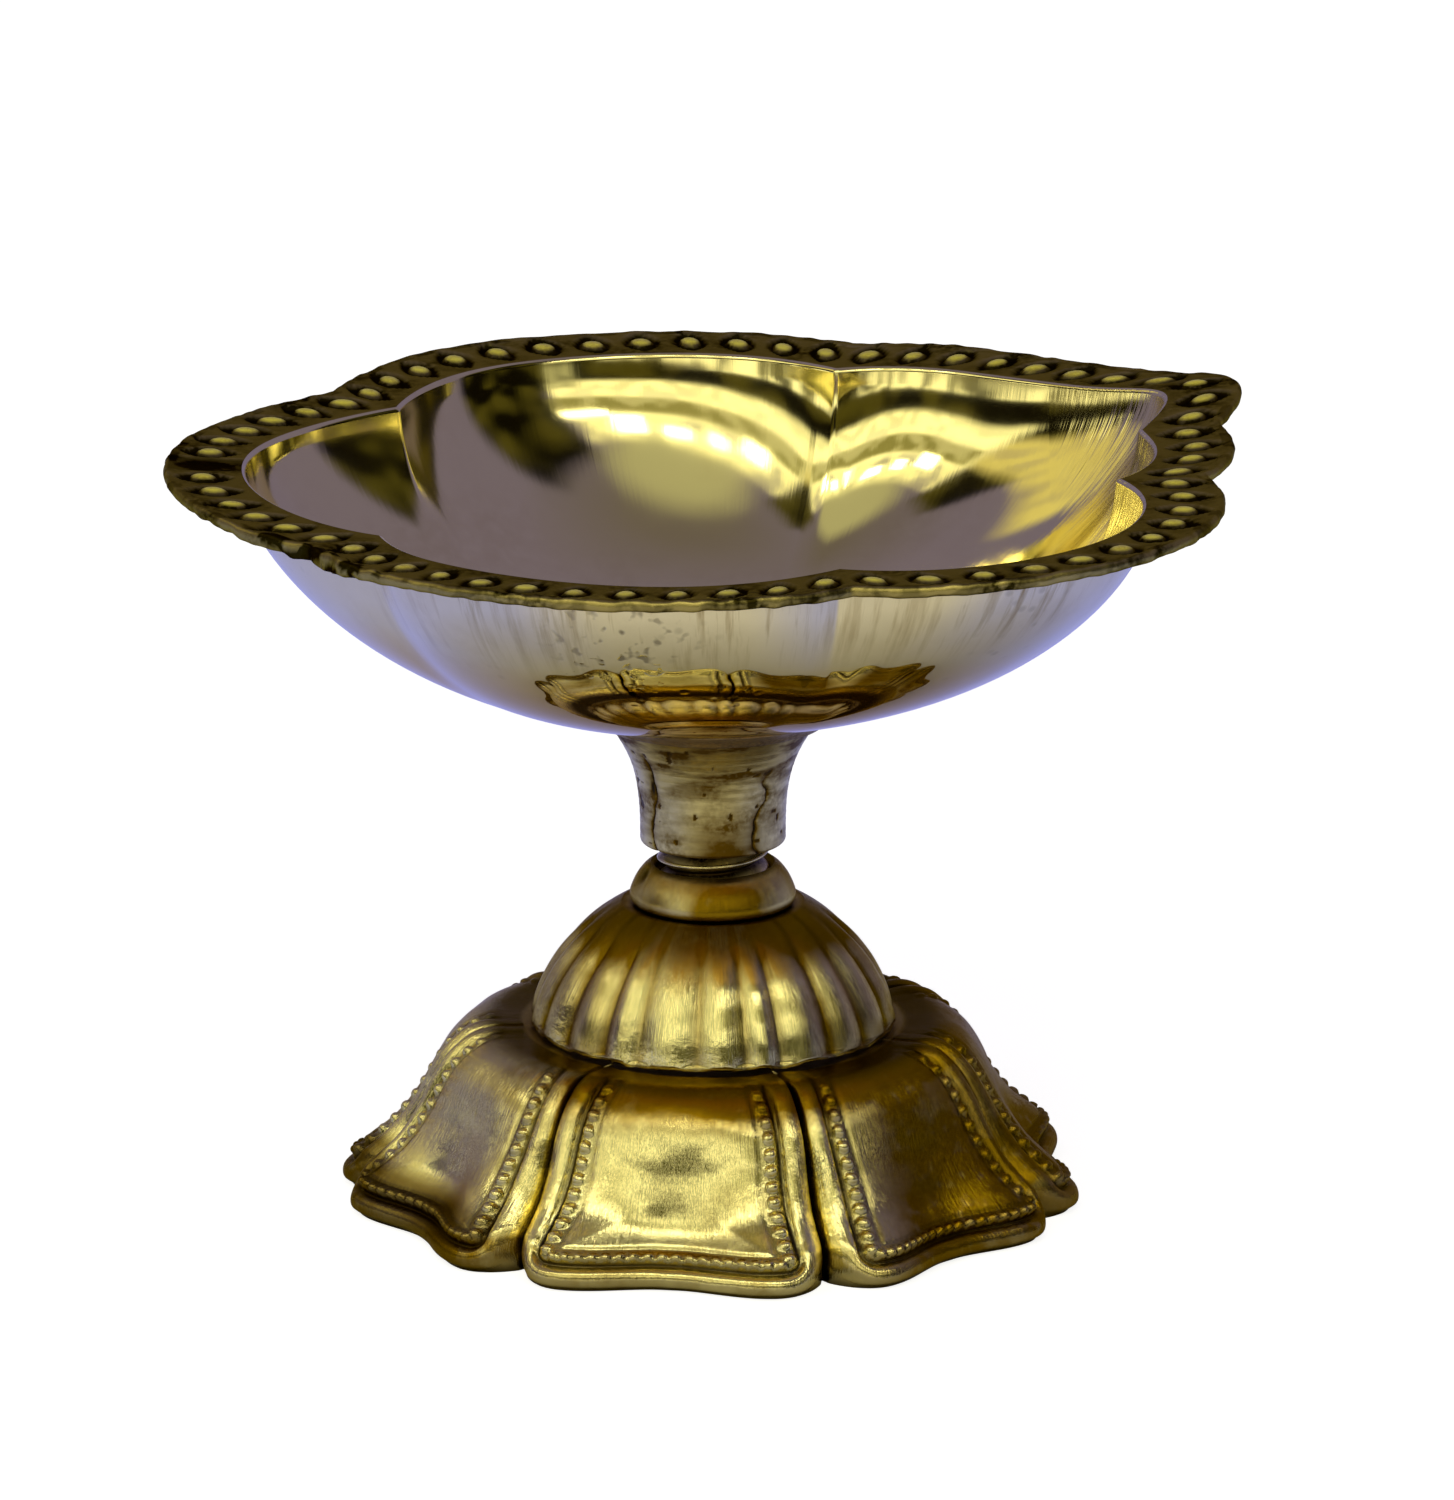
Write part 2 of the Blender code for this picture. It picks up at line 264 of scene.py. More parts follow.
def effect(name, ins, outs):
    """An empty node group with named inputs and outputs, as (tree, its inputs, its output node)."""
    tree = bpy.data.node_groups.new(name, "ShaderNodeTree")
    for label, kind, value in ins:
        socket = tree.interface.new_socket(label, in_out="INPUT", socket_type="NodeSocket" + kind)
        if value is not None:
            socket.default_value = value
    for label, kind in outs:
        tree.interface.new_socket(label, in_out="OUTPUT", socket_type="NodeSocket" + kind)
    entry = tree.nodes.new("NodeGroupInput")
    leave = tree.nodes.new("NodeGroupOutput")
    return tree, entry.outputs, leave


def use(tree, group, inputs=None):
    made = tree.nodes.new("ShaderNodeGroup")
    made.node_tree = group
    fill(tree, made, inputs or {})
    return made.outputs


def make_tarnish_and_shade():
    """Brass whose bright colour gives way to a dark one in hollows and in soft blotches; what some
    pieces pass in as hollows is painted shade.
    """
    tree, ins, leave = effect(
        "tarnish_and_shade",
        [
            ("Bright", "Color", (0.8, 0.6, 0.2, 1)), ("Dark", "Color", (0.1, 0.06, 0.02, 1)),
            ("Hollow", "Float", 0.0), ("Blotches", "Float", 0.3), ("Size", "Float", 200.0),
        ],
        [("Color", "Color"), ("Darkening", "Float")],
    )
    place = on_piece(tree)
    broad = noise(tree, place, ins["Size"], 5.0)
    fine = noise(tree, place, times(tree, ins["Size"], 7.0), 3.0)
    speckled = times(tree, ranged(tree, broad, 0.42, 0.72), ranged(tree, fine, 0.3, 0.6))
    blotch = times(tree, speckled, ins["Blotches"])
    hollow = times(tree, ins["Hollow"], ranged(tree, fine, 0.2, 0.5, 0.92, 1.0))
    darkening = plus(tree, hollow, blotch, clamp=True)
    fill(tree, leave, {"Color": blended(tree, darkening, ins["Bright"], ins["Dark"]), "Darkening": darkening})
    return tree


def make_brushing():
    """Fine hand-polishing lines that run up and down, or round, a piece turned about Z."""
    tree, ins, leave = effect(
        "brushing",
        [("Around", "Float", 400.0), ("Upward", "Float", 30.0)],
        [("Height", "Float")],
    )
    parts = axes(tree, on_piece(tree))
    wound = times(tree, maths(tree, "ARCTAN2", parts[1], parts[0]), ins["Around"])
    raised = times(tree, parts[2], ins["Upward"])
    vector = add(tree, "CombineXYZ", {0: wound, 1: raised}).outputs[0]
    lines = add(tree, "TexNoise", {"Vector": vector, "Scale": 1.0, "Detail": 4.0, "Roughness": 0.7})
    fill(tree, leave, {"Height": lines.outputs["Fac"]})
    return tree


def make_cast_skin():
    """The soft orange-peel grain of a sand casting, with a few pits."""
    tree, ins, leave = effect(
        "cast_skin", [("Size", "Float", 900.0)], [("Height", "Float"), ("Pits", "Float")]
    )
    place = on_piece(tree)
    cells = add(tree, "TexVoronoi", {"Vector": place, "Scale": ins["Size"], "Randomness": 1.0})
    where = noise(tree, place, times(tree, ins["Size"], 0.13), 2.0)
    dots = ranged(tree, cells.outputs["Distance"], 0.12, 0.3, 1.0, 0.0)
    fill(tree, leave, {
        "Height": noise(tree, place, ins["Size"], 3.0),
        "Pits": times(tree, ranged(tree, where, 0.58, 0.68), dots),
    })
    return tree


def new_material(name, metallic=1.0):
    material = bpy.data.materials.new(name)
    material.use_nodes = True
    tree = material.node_tree
    shader = tree.nodes["Principled BSDF"]
    shader.inputs["Metallic"].default_value = metallic
    return material, tree, shader


def relief(tree, label):
    """A value that the mesh carries at each point."""
    return add(tree, "Attribute", attribute_name=label).outputs["Fac"]


def bump(tree, shader, height, distance, strength=1.0, under=None):
    """Adds relief to the shader's normal, over the bump under it if there is one."""
    made = add(tree, "Bump", {"Height": height, "Distance": distance, "Strength": strength})
    if under is not None:
        fill(tree, made, {"Normal": under})
    fill(tree, shader, {"Normal": made.outputs["Normal"]})
    return made.outputs["Normal"]


PIT_PATCH = (-0.008, -0.0405, RIM_Z - 0.0075)  # a freckled patch on the bowl's near side
STEM_STAIN = (0.0012, -COLLAR_BASE_RADIUS, COLLAR_BASE_Z + 0.0006)

tarnish_and_shade = make_tarnish_and_shade()
brushing = make_brushing()
cast_skin = make_cast_skin()


# ---------------------------------------------------------------- materials

def make_bowl_inside():
    """Mirror-polished brass with faint hand marks, a painted pale reflection at its near side, wavy in
    the small lobe.
    """
    material, tree, shader = new_material("bowl_inside")
    place = on_piece(tree)
    cloud = noise(tree, place, 55.0, 5.0)
    skin_out = use(tree, tarnish_and_shade, {
        "Bright": (0.94, 0.83, 0.34, 1), "Dark": (0.55, 0.40, 0.12, 1),
        "Blotches": 0.22, "Size": 90.0,
    })
    # The near side gets a painted pale mauve reflection: paler colour, less metallic and a little
    # rougher.
    nearness = add(tree, "VectorMath", {0: place, 1: (-0.45, -0.90, 0.0)}, operation="DOT_PRODUCT")
    painted_pale_reflection = times(
        tree, ranged(tree, nearness.outputs["Value"], 0.016, 0.034),
        ranged(tree, cloud, 0.30, 0.60, 0.5, 1.0),
    )
    polished = plus(
        tree, ranged(tree, cloud, 0.35, 0.70, 0.06, 0.17), times(tree, skin_out["Darkening"], 0.12)
    )
    fill(tree, shader, {
        "Base Color": blended(
            tree, times(tree, painted_pale_reflection, 0.7), skin_out["Color"], (0.86, 0.77, 0.72, 1)
        ),
        "Metallic": ranged(tree, painted_pale_reflection, 0.0, 1.0, 1.0, 0.35),
        "Roughness": plus(tree, polished, times(tree, painted_pale_reflection, 0.22)),
    })
    small_lobe = ranged(tree, axes(tree, place)[0], 0.029, 0.035)
    folds = use(tree, brushing, {"Around": 34.0, "Upward": 20.0})["Height"]
    folds = times(tree, times(tree, folds, small_lobe), 4.0)
    first = bump(tree, shader, plus(tree, noise(tree, place, 160.0, 1.0), folds), 0.00010, 0.5)
    lines = use(tree, brushing, {"Around": 70.0, "Upward": 30.0})["Height"]
    bump(tree, shader, lines, 0.00002, 0.25, under=first)
    return material


def make_bowl_outside():
    """Satin brass, faintly scratched lengthways, brown under the flange; a mirror low down, with a
    painted amber reflection of the foot on its near side.
    """
    material, tree, shader = new_material("bowl_outside")
    place = on_piece(tree)
    _, along_y, height = axes(tree, place)[:3]
    streaks = use(tree, brushing, {"Around": 26.0, "Upward": 60.0})["Height"]
    under_flange = times(
        tree, ranged(tree, height, RIM_Z - 0.011, RIM_Z - 0.002),
        ranged(tree, noise(tree, place, 70.0, 3.0), 0.42, 0.62),
    )
    stain = times(tree, under_flange, ranged(tree, streaks, 0.50, 0.66))
    skin_out = use(tree, tarnish_and_shade, {
        "Bright": (0.88, 0.79, 0.46, 1), "Dark": (0.34, 0.24, 0.07, 1),
        "Hollow": times(tree, stain, 0.8), "Blotches": 0.15, "Size": 100.0,
    })
    # Painted amber reflection: low on the near side the colour turns orange, standing in for the foot
    # mirrored there.
    amber = times(
        tree, ranged(tree, height, BOWL_BASE_Z + 0.0030, BOWL_BASE_Z + 0.0120, 0.95, 0.0),
        ranged(tree, along_y, -0.012, -0.006, 1.0, 0.0),
    )
    colour = blended(tree, amber, skin_out["Color"], (0.88, 0.50, 0.03, 1))
    freckles = times(
        tree, ranged(tree, distance_to(tree, place, PIT_PATCH), 0.002, 0.009, 1.0, 0.0),
        ranged(tree, noise(tree, place, 1000.0, 1.0), 0.58, 0.70),
    )
    pitted = use(tree, cast_skin, {"Size": 620.0})["Pits"]
    pits = maths(tree, "MAXIMUM", times(tree, pitted, 0.25), freckles)
    upper = ranged(tree, height, BOWL_BASE_Z + 0.0125, BOWL_BASE_Z + 0.0155)
    dull = times(tree, plus(tree, skin_out["Darkening"], 0.5), 0.2)
    fill(tree, shader, {
        "Base Color": blended(tree, pits, colour, (0.10, 0.08, 0.05, 1)),
        "Roughness": plus(tree, times(tree, dull, upper), 0.025),
    })
    fine = use(tree, brushing, {"Around": 420.0, "Upward": 70.0})["Height"]
    first = bump(tree, shader, times(tree, fine, upper), 0.00002, 0.25)
    bump(tree, shader, maths(tree, "SUBTRACT", 1.0, pits), 0.00008, 0.5, under=first)
    return material


def make_flange_patina():
    """Dark olive patina on the flange, worn yellow on each bead and nearly black round it."""
    material, tree, shader = new_material("flange_patina")
    skin_out = use(tree, tarnish_and_shade, {
        "Bright": (0.42, 0.34, 0.10, 1), "Dark": (0.032, 0.024, 0.003, 1),
        "Hollow": relief(tree, "hollow"), "Blotches": 0.95, "Size": 230.0,
    })
    gold = use(tree, tarnish_and_shade, {
        "Bright": (1.0, 0.90, 0.10, 1), "Dark": (0.42, 0.28, 0.01, 1),
        "Blotches": 0.7, "Size": 420.0,
    })
    worn = ranged(tree, relief(tree, "bead"), 0.50, 0.85)
    shader.inputs["Specular Tint"].default_value = (0.36, 0.31, 0.12, 1)
    fill(tree, shader, {
        "Base Color": blended(tree, worn, skin_out["Color"], gold["Color"]),
        "Metallic": ranged(tree, worn, 0.0, 1.0, 1.0, 0.30),
        "Roughness": ranged(tree, worn, 0.0, 1.0, 0.38, 0.30),
    })
    grain = use(tree, cast_skin, {"Size": 1600.0})["Height"]
    bump(tree, shader, grain, 0.00012, 0.4)
    return material


def make_stem_brass():
    """Turned brass with the lathe's rings, brown in patches and black in its cracks."""
    material, tree, shader = new_material("stem_turned")
    place = on_piece(tree)
    flattened = add(tree, "VectorMath", {0: place, 1: (1.0, 1.0, 3.5)}, operation="MULTIPLY")
    patches = noise(tree, flattened.outputs[0], 170.0, 6.0)
    upper = ranged(tree, axes(tree, place)[2], COLLAR_BASE_Z + 0.0045, COLLAR_BASE_Z + 0.008)
    brown = times(
        tree, ranged(tree, patches, 0.46, 0.58), ranged(tree, upper, 0.0, 1.0, 0.4, 0.95)
    )
    near_stain = distance_to(tree, place, STEM_STAIN)
    stain = times(tree, ranged(tree, near_stain, 0.0008, 0.0045, 2.2, 0.0), patches)
    carved = relief(tree, "hollow")
    skin_out = use(tree, tarnish_and_shade, {
        "Bright": (0.74, 0.63, 0.24, 1), "Dark": (0.15, 0.08, 0.003, 1),
        "Hollow": plus(tree, maths(tree, "MAXIMUM", brown, stain), carved, clamp=True),
        "Blotches": 0.6, "Size": 330.0,
    })
    black = ranged(tree, carved, 0.55, 1.0)
    fill(tree, shader, {
        "Base Color": blended(tree, black, skin_out["Color"], (0.025, 0.016, 0.004, 1)),
        "Roughness": ranged(tree, skin_out["Darkening"], 0.0, 1.0, 0.30, 0.5),
    })
    rings = use(tree, brushing, {"Around": 3.0, "Upward": 4200.0})["Height"]
    bump(tree, shader, rings, 0.00006, 0.35)
    return material


def make_thread_brass():
    """Cut thread, bright on its crests and dark with painted shade at its roots."""
    material, tree, shader = new_material("thread_brass")
    skin_out = use(tree, tarnish_and_shade, {
        "Bright": (0.80, 0.68, 0.28, 1), "Dark": (0.05, 0.028, 0.006, 1),
        "Hollow": relief(tree, "hollow"), "Blotches": 0.5, "Size": 500.0,
    })
    fill(tree, shader, {
        "Base Color": skin_out["Color"],
        "Roughness": ranged(tree, skin_out["Darkening"], 0.0, 1.0, 0.22, 0.45),
    })
    return material


def make_foot_brass(name, blotches, upward, polish_depth, grain_depth):
    """Golden cast brass, polished on what stands proud, dark amber in its hollows from tarnish and
    painted shade, and near black where painted shade is laid.
    """
    material, tree, shader = new_material(name)
    skin_out = use(tree, tarnish_and_shade, {
        "Bright": (0.98, 0.88, 0.37, 1), "Dark": (0.30, 0.175, 0.004, 1),
        "Hollow": relief(tree, "hollow"), "Blotches": blotches, "Size": 120.0,
    })
    shader.inputs["Specular Tint"].default_value = (0.85, 0.70, 0.36, 1)
    # Near-black painted shade, laid by each piece into its grooves, seams, valleys and recesses.
    painted_shade = relief(tree, "painted_shade")
    fill(tree, shader, {
        "Base Color": blended(tree, painted_shade, skin_out["Color"], (0.030, 0.016, 0.001, 1)),
        "Roughness": ranged(tree, skin_out["Darkening"], 0.0, 1.0, 0.09, 0.25),
    })
    fine = use(tree, brushing, {"Around": 130.0, "Upward": upward})["Height"]
    first = bump(tree, shader, fine, polish_depth, 0.7)
    grain = times(tree, use(tree, cast_skin, {"Size": 1500.0})["Height"], relief(tree, "grain"))
    bump(tree, shader, grain, grain_depth, 0.7, under=first)
    return material


def make_braze():
    """Dull, slightly rough filler metal."""
    material, tree, shader = new_material("braze_fillet")
    skin_out = use(tree, tarnish_and_shade, {
        "Bright": (0.52, 0.40, 0.20, 1), "Dark": (0.12, 0.08, 0.04, 1), "Blotches": 0.9, "Size": 400.0,
    })
    fill(tree, shader, {
        "Base Color": skin_out["Color"],
        "Roughness": ranged(tree, skin_out["Darkening"], 0.0, 1.0, 0.4, 0.65),
    })
    grain = use(tree, cast_skin, {"Size": 1300.0})["Height"]
    bump(tree, shader, grain, 0.0002, 0.6)
    return material


bowl_inside = make_bowl_inside()
bowl_outside = make_bowl_outside()
flange_patina = make_flange_patina()
stem_turned = make_stem_brass()
thread_brass = make_thread_brass()
dome_brass = make_foot_brass("dome_brass", 0.35, 70.0, 0.00007, 0.00014)
petal_brass = make_foot_brass("petal_brass", 0.40, 210.0, 0.00012, 0.00012)
braze_fillet = make_braze()


# ---------------------------------------------------------------- bowl

# Where neighbouring lobes meet, anticlockwise from the near end of the small centre lobe, and
# how far each lobe bulges past the line between its corners. The casting isn't quite even.
LOBE_CORNERS = np.array([
    (34.9, -7.7), (36.9, 8.3), (11.2, 32.2), (-27.0, 20.8), (-27.3, -21.4), (10.8, -34.6),
]) * MM
LOBE_BULGES = np.array((2.2, 10.4, 11.4, 12.2, 10.4, 11.8)) * MM

BEAD_LINE = 2.9 * MM             # the beads' centres, out from the bowl's inner edge
BEAD_PITCH = 4.35 * MM
BEAD_STEPS = 12                  # mesh columns to a bead
BEAD_HALF_WIDTH = 1.12 * MM      # along the flange
BEAD_HALF_LENGTH = 1.25 * MM     # across the flange
BEAD_HEIGHT = 0.56 * MM
SETTING_DEPTH = 0.30 * MM        # the almond-shaped hollow that each bead sits in
SETTING_MARGIN = 0.70 * MM
SETTING_HALF_LENGTH = 2.75 * MM
TIP_SCRATCH = 0.05 * MM          # the tip's beads are worn away to scratched metal
TIP_WORN_DOWN = 0.10 * MM
INNER_EDGE = -0.7 * MM


def lobe_circle(start, end, bulge):
    chord = end - start
    middle = (start + end) / 2
    outward = np.array((chord[1], -chord[0])) / np.linalg.norm(chord)
    if outward @ middle < 0:
        outward = -outward
    radius = (chord @ chord / 4 + bulge * bulge) / (2 * bulge)
    return middle - outward * (radius - bulge), radius


LOBES = [
    lobe_circle(LOBE_CORNERS[i], LOBE_CORNERS[(i + 1) % len(LOBE_CORNERS)], LOBE_BULGES[i])
    for i in range(len(LOBE_CORNERS))
]
TIP_LOBE = 3


def outer_crossing(first, second):
    (centre_a, radius_a), (centre_b, radius_b) = first, second
    across = centre_b - centre_a
    distance = np.linalg.norm(across)
    along = (distance ** 2 + radius_a ** 2 - radius_b ** 2) / (2 * distance)
    side = np.array((-across[1], across[0])) / distance * math.sqrt(radius_a ** 2 - along ** 2)
    foot = centre_a + across * (along / distance)
    return max(foot + side, foot - side, key=np.linalg.norm)


def lobe_arcs(offset):
    """Each lobe's circle centre, radius, first angle and sweep, at an offset from the inner edge."""
    grown = [(centre, radius + offset) for centre, radius in LOBES]
    corners = [outer_crossing(grown[i - 1], grown[i]) for i in range(len(grown))]
    arcs = []
    for i, (centre, radius) in enumerate(grown):
        start = corners[i] - centre
        end = corners[(i + 1) % len(grown)] - centre
        first = math.atan2(start[1], start[0])
        sweep = (math.atan2(end[1], end[0]) - first) % (2 * math.pi)
        arcs.append((centre, radius, first, sweep))
    return arcs


BEADS = [max(3, round(radius * sweep / BEAD_PITCH)) for _, radius, _, sweep in lobe_arcs(BEAD_LINE)]


def outline(offset):
    """The bowl's plan at an offset, as points (around, 2), with whole beads on every lobe."""
    points = []
    for beads, (centre, radius, first, sweep) in zip(BEADS, lobe_arcs(offset)):
        angle = first + sweep * np.arange(beads * BEAD_STEPS) / (beads * BEAD_STEPS)
        points.append(centre + radius * np.stack([np.cos(angle), np.sin(angle)], -1))
    return np.concatenate(points)


def wall_rings(base_z, offset, fractions):
    """Rings of one face of the wall, round at the floor and lobed towards the rim."""
    plan = outline(offset)
    length = np.linalg.norm(plan, axis=1)
    soft = np.mean([np.roll(length, shift) for shift in range(-6, 7)], axis=0)
    rings = []
    for fraction in fractions:
        lobed = fraction ** 3
        here = soft + (length - soft) * fraction ** 12
        radius = fraction * ((1 - lobed) * (BOWL_FLOOR_RADIUS + offset) + lobed * here)
        height = base_z + (RIM_Z - base_z) * (1 - (1 - fraction ** 2.6) ** 0.6)
        spots = plan / length[:, None] * radius[:, None]
        rings.append(np.column_stack([spots, np.full(len(plan), height)]))
    return rings


def flange_ring(offset, height):
    plan = outline(offset)
    return np.column_stack([plan, np.full(len(plan), height)])


def bead_relief(offsets):
    """Height, bead mask and hollow mask over the flange's top, at these offsets, for every column."""
    picker = np.random.default_rng(7)
    heights, beads, hollows = [], [], []
    for lobe, count in enumerate(BEADS):
        for bead in range(count):
            at_tip = lobe == TIP_LOBE and abs(bead - (count - 1) / 2) < 1
            shift, lean, wide, tall = picker.uniform(-1, 1, 4)
            column = np.arange(BEAD_STEPS)
            along = (column / BEAD_STEPS - 0.5) * BEAD_PITCH
            radial = offsets[:, None] - BEAD_LINE - 0.12 * MM * shift
            tangent = along[None, :] + radial * 0.10 * lean
            half_wide = BEAD_HALF_WIDTH + 0.12 * MM * wide
            almond = 1 - np.abs(tangent) / (half_wide + SETTING_MARGIN)
            almond = almond - (radial / SETTING_HALF_LENGTH) ** 2
            recess = step_up(almond, 0.0, 0.30)
            swell = 1 - (tangent / half_wide) ** 2 - (radial / BEAD_HALF_LENGTH) ** 2
            swell = np.sqrt(np.clip(swell, 0, None))
            height = (BEAD_HEIGHT + 0.07 * MM * tall) * swell - SETTING_DEPTH * recess
            if at_tip:
                scratches = np.sin(along / MM * 9 + 2 * shift)[None, :] * np.ones(radial.shape)
                height = TIP_SCRATCH * scratches - TIP_WORN_DOWN
                swell = swell * 0
            heights.append(height)
            beads.append(swell)
            hollows.append(np.clip(recess * 1.2 - swell * 1.5 + 0.5 * at_tip, 0, 1))
    return (np.concatenate(part, axis=1) for part in (heights, beads, hollows))


# Knocks the rim has taken: heading and width in degrees, then how far it moved outwards,
# along Y and upwards, in millimetres.
KNOCKS = [
    (24, 8, 2.9, 0.3, 0.8), (47, 15, -2.6, 0.0, -0.2), (180, 24, 0.4, 1.6, 0.0),
    (124, 16, 1.4, 0.0, 0.1), (-80, 25, 0.0, 0.0, -0.35), (-138, 14, 0.3, 0.0, -0.4),
]
LEAN = math.radians(1.0)         # the bowl sits this much out of level on its stem


def bent(points):
    """The bowl as knocked about in use: ear turned up, rim waved, and the whole leaning."""
    points = points.copy()
    radius = np.linalg.norm(points[..., :2], axis=-1)
    out = points[..., :2] / radius[..., None]
    heading = np.degrees(np.arctan2(points[..., 1], points[..., 0]))
    rim = step_up(points[..., 2], BOWL_BASE_Z + 4 * MM, RIM_Z) * step_up(radius, 22 * MM, 44 * MM)
    wave = bumps(points * (1, 1, 0), 17 * MM, seed=3) * rim
    for place, width, outward, along_y, up in KNOCKS:
        gap = (heading - place + 180) % 360 - 180
        share = np.exp(-(gap / width) ** 2) * rim
        points[..., :2] += out * (outward * MM * share)[..., None]
        points[..., 1] += along_y * MM * share
        points[..., 2] += up * MM * share
    points[..., 2] += 0.14 * MM * wave
    across = points[..., 0].copy()
    above = points[..., 2] - BOWL_BASE_Z
    points[..., 0] = across * math.cos(LEAN) - above * math.sin(LEAN)
    points[..., 2] = BOWL_BASE_Z + across * math.sin(LEAN) + above * math.cos(LEAN)
    return points


def build_bowl():
    under_z = RIM_Z - FLANGE_THICKNESS
    outer_wall = INNER_EDGE + BOWL_WALL
    outside_fractions = np.sin(np.linspace(0.06, math.pi / 2 * 0.955, 44))
    outside = wall_rings(BOWL_BASE_Z, outer_wall, outside_fractions)
    under = []
    for share in np.linspace(0.03, 1, 9):
        offset = outer_wall + (FLANGE_WIDTH - FLANGE_ROUND - outer_wall) * share
        under.append(flange_ring(offset, under_z + FLANGE_RISE * share))
    edge = []
    edge_z = RIM_Z + FLANGE_RISE - FLANGE_THICKNESS / 2
    for turn in np.linspace(-math.pi / 2 * 0.8, math.pi / 2 * 0.8, 7):
        edge.append(flange_ring(
            FLANGE_WIDTH - FLANGE_ROUND + FLANGE_ROUND * math.cos(turn),
            edge_z + FLANGE_THICKNESS / 2 * math.sin(turn),
        ))
    top_offsets = np.linspace(FLANGE_WIDTH - FLANGE_ROUND, INNER_EDGE + INNER_ROUND, 38)
    heights, beads, hollows = bead_relief(top_offsets)
    top = []
    for row, offset in enumerate(top_offsets):
        share = (offset - INNER_EDGE) / (FLANGE_WIDTH - INNER_EDGE)
        channel = -0.10 * MM * hump(share, 0.52, 0.45)
        ring = flange_ring(offset, RIM_Z + FLANGE_RISE * share + channel)
        ring[:, 2] += heights[row]
        top.append(ring)
    lip = []
    for turn in np.linspace(0.15, math.pi / 2, 5):
        lip.append(flange_ring(
            INNER_EDGE + INNER_ROUND * (1 - math.sin(turn)),
            RIM_Z - INNER_ROUND * (1 - math.cos(turn)),
        ))
    inside_fractions = np.sin(np.linspace(math.pi / 2 * 0.94, 0.06, 54))
    inside = wall_rings(BOWL_BASE_Z + BOWL_WALL, INNER_EDGE, inside_fractions)
    rings = np.array(outside + under + edge + top + lip + inside)

    rows = len(rings)
    first_top = len(outside) + len(under) + len(edge)
    bead_mask = np.zeros(rings.shape[:2])
    hollow_mask = np.zeros(rings.shape[:2])
    bead_mask[first_top:first_top + len(top)] = beads
    hollow_mask[first_top:first_top + len(top)] = hollows

    angle = np.degrees(np.arctan2(rings[..., 1], rings[..., 0]))
    torn = np.exp(-((angle + 138) / 12) ** 2) + 0.55
    flange_only = np.zeros(rows)
    flange_only[len(outside):first_top + 4] = 1
    rough = flange_only[:, None] * torn
    rings[..., 2] += 0.22 * MM * rough * bumps(rings, 1.1 * MM, seed=5)
    flash = np.exp(-((angle + 141) / 10) ** 2) * flange_only[:, None]
    outer_part = step_up(np.linalg.norm(rings[..., :2], axis=-1), 38 * MM, 41 * MM)
    below = rings[..., 2] < RIM_Z + FLANGE_RISE - FLANGE_THICKNESS * 0.55
    rings[..., 2] -= 0.9 * MM * flash * outer_part * below * (0.6 + 0.5 * bumps(rings, 2 * MM, seed=8))
    out = rings[..., :2] / np.linalg.norm(rings[..., :2], axis=-1, keepdims=True)
    rings[..., :2] += out * (0.2 * MM * rough * bumps(rings, 1.6 * MM, seed=9))[..., None]
    hollow_mask = np.clip(hollow_mask + 0.8 * rough * (bumps(rings, 1.5 * MM, seed=6) > 0.1), 0, 1)

    slots = np.full(rows - 1, 2)
    slots[:len(outside) + 1] = 0
    slots[len(outside) + 1:first_top + len(top)] = 1
    bowl = skin(
        "leaf_bowl", bent(rings), False,
        {"bead": bead_mask, "hollow": hollow_mask}, slots,
    )
    for finish in (bowl_outside, flange_patina, bowl_inside):
        bowl.data.materials.append(finish)
    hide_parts("bowl")
    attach(bowl, "bowl_assembly")


# ---------------------------------------------------------------- stem, thread and bush

# Cracks in the stem: heading in degrees, reach up from its base in millimetres, and wander
# from side to side in degrees.
CRACKS = ((-142.0, 9.5, 4.0), (-50.0, 7.5, 6.0))
BURN_HEADING, BURN_CLIMB = -141, 6.0     # a burnt spot on the first crack


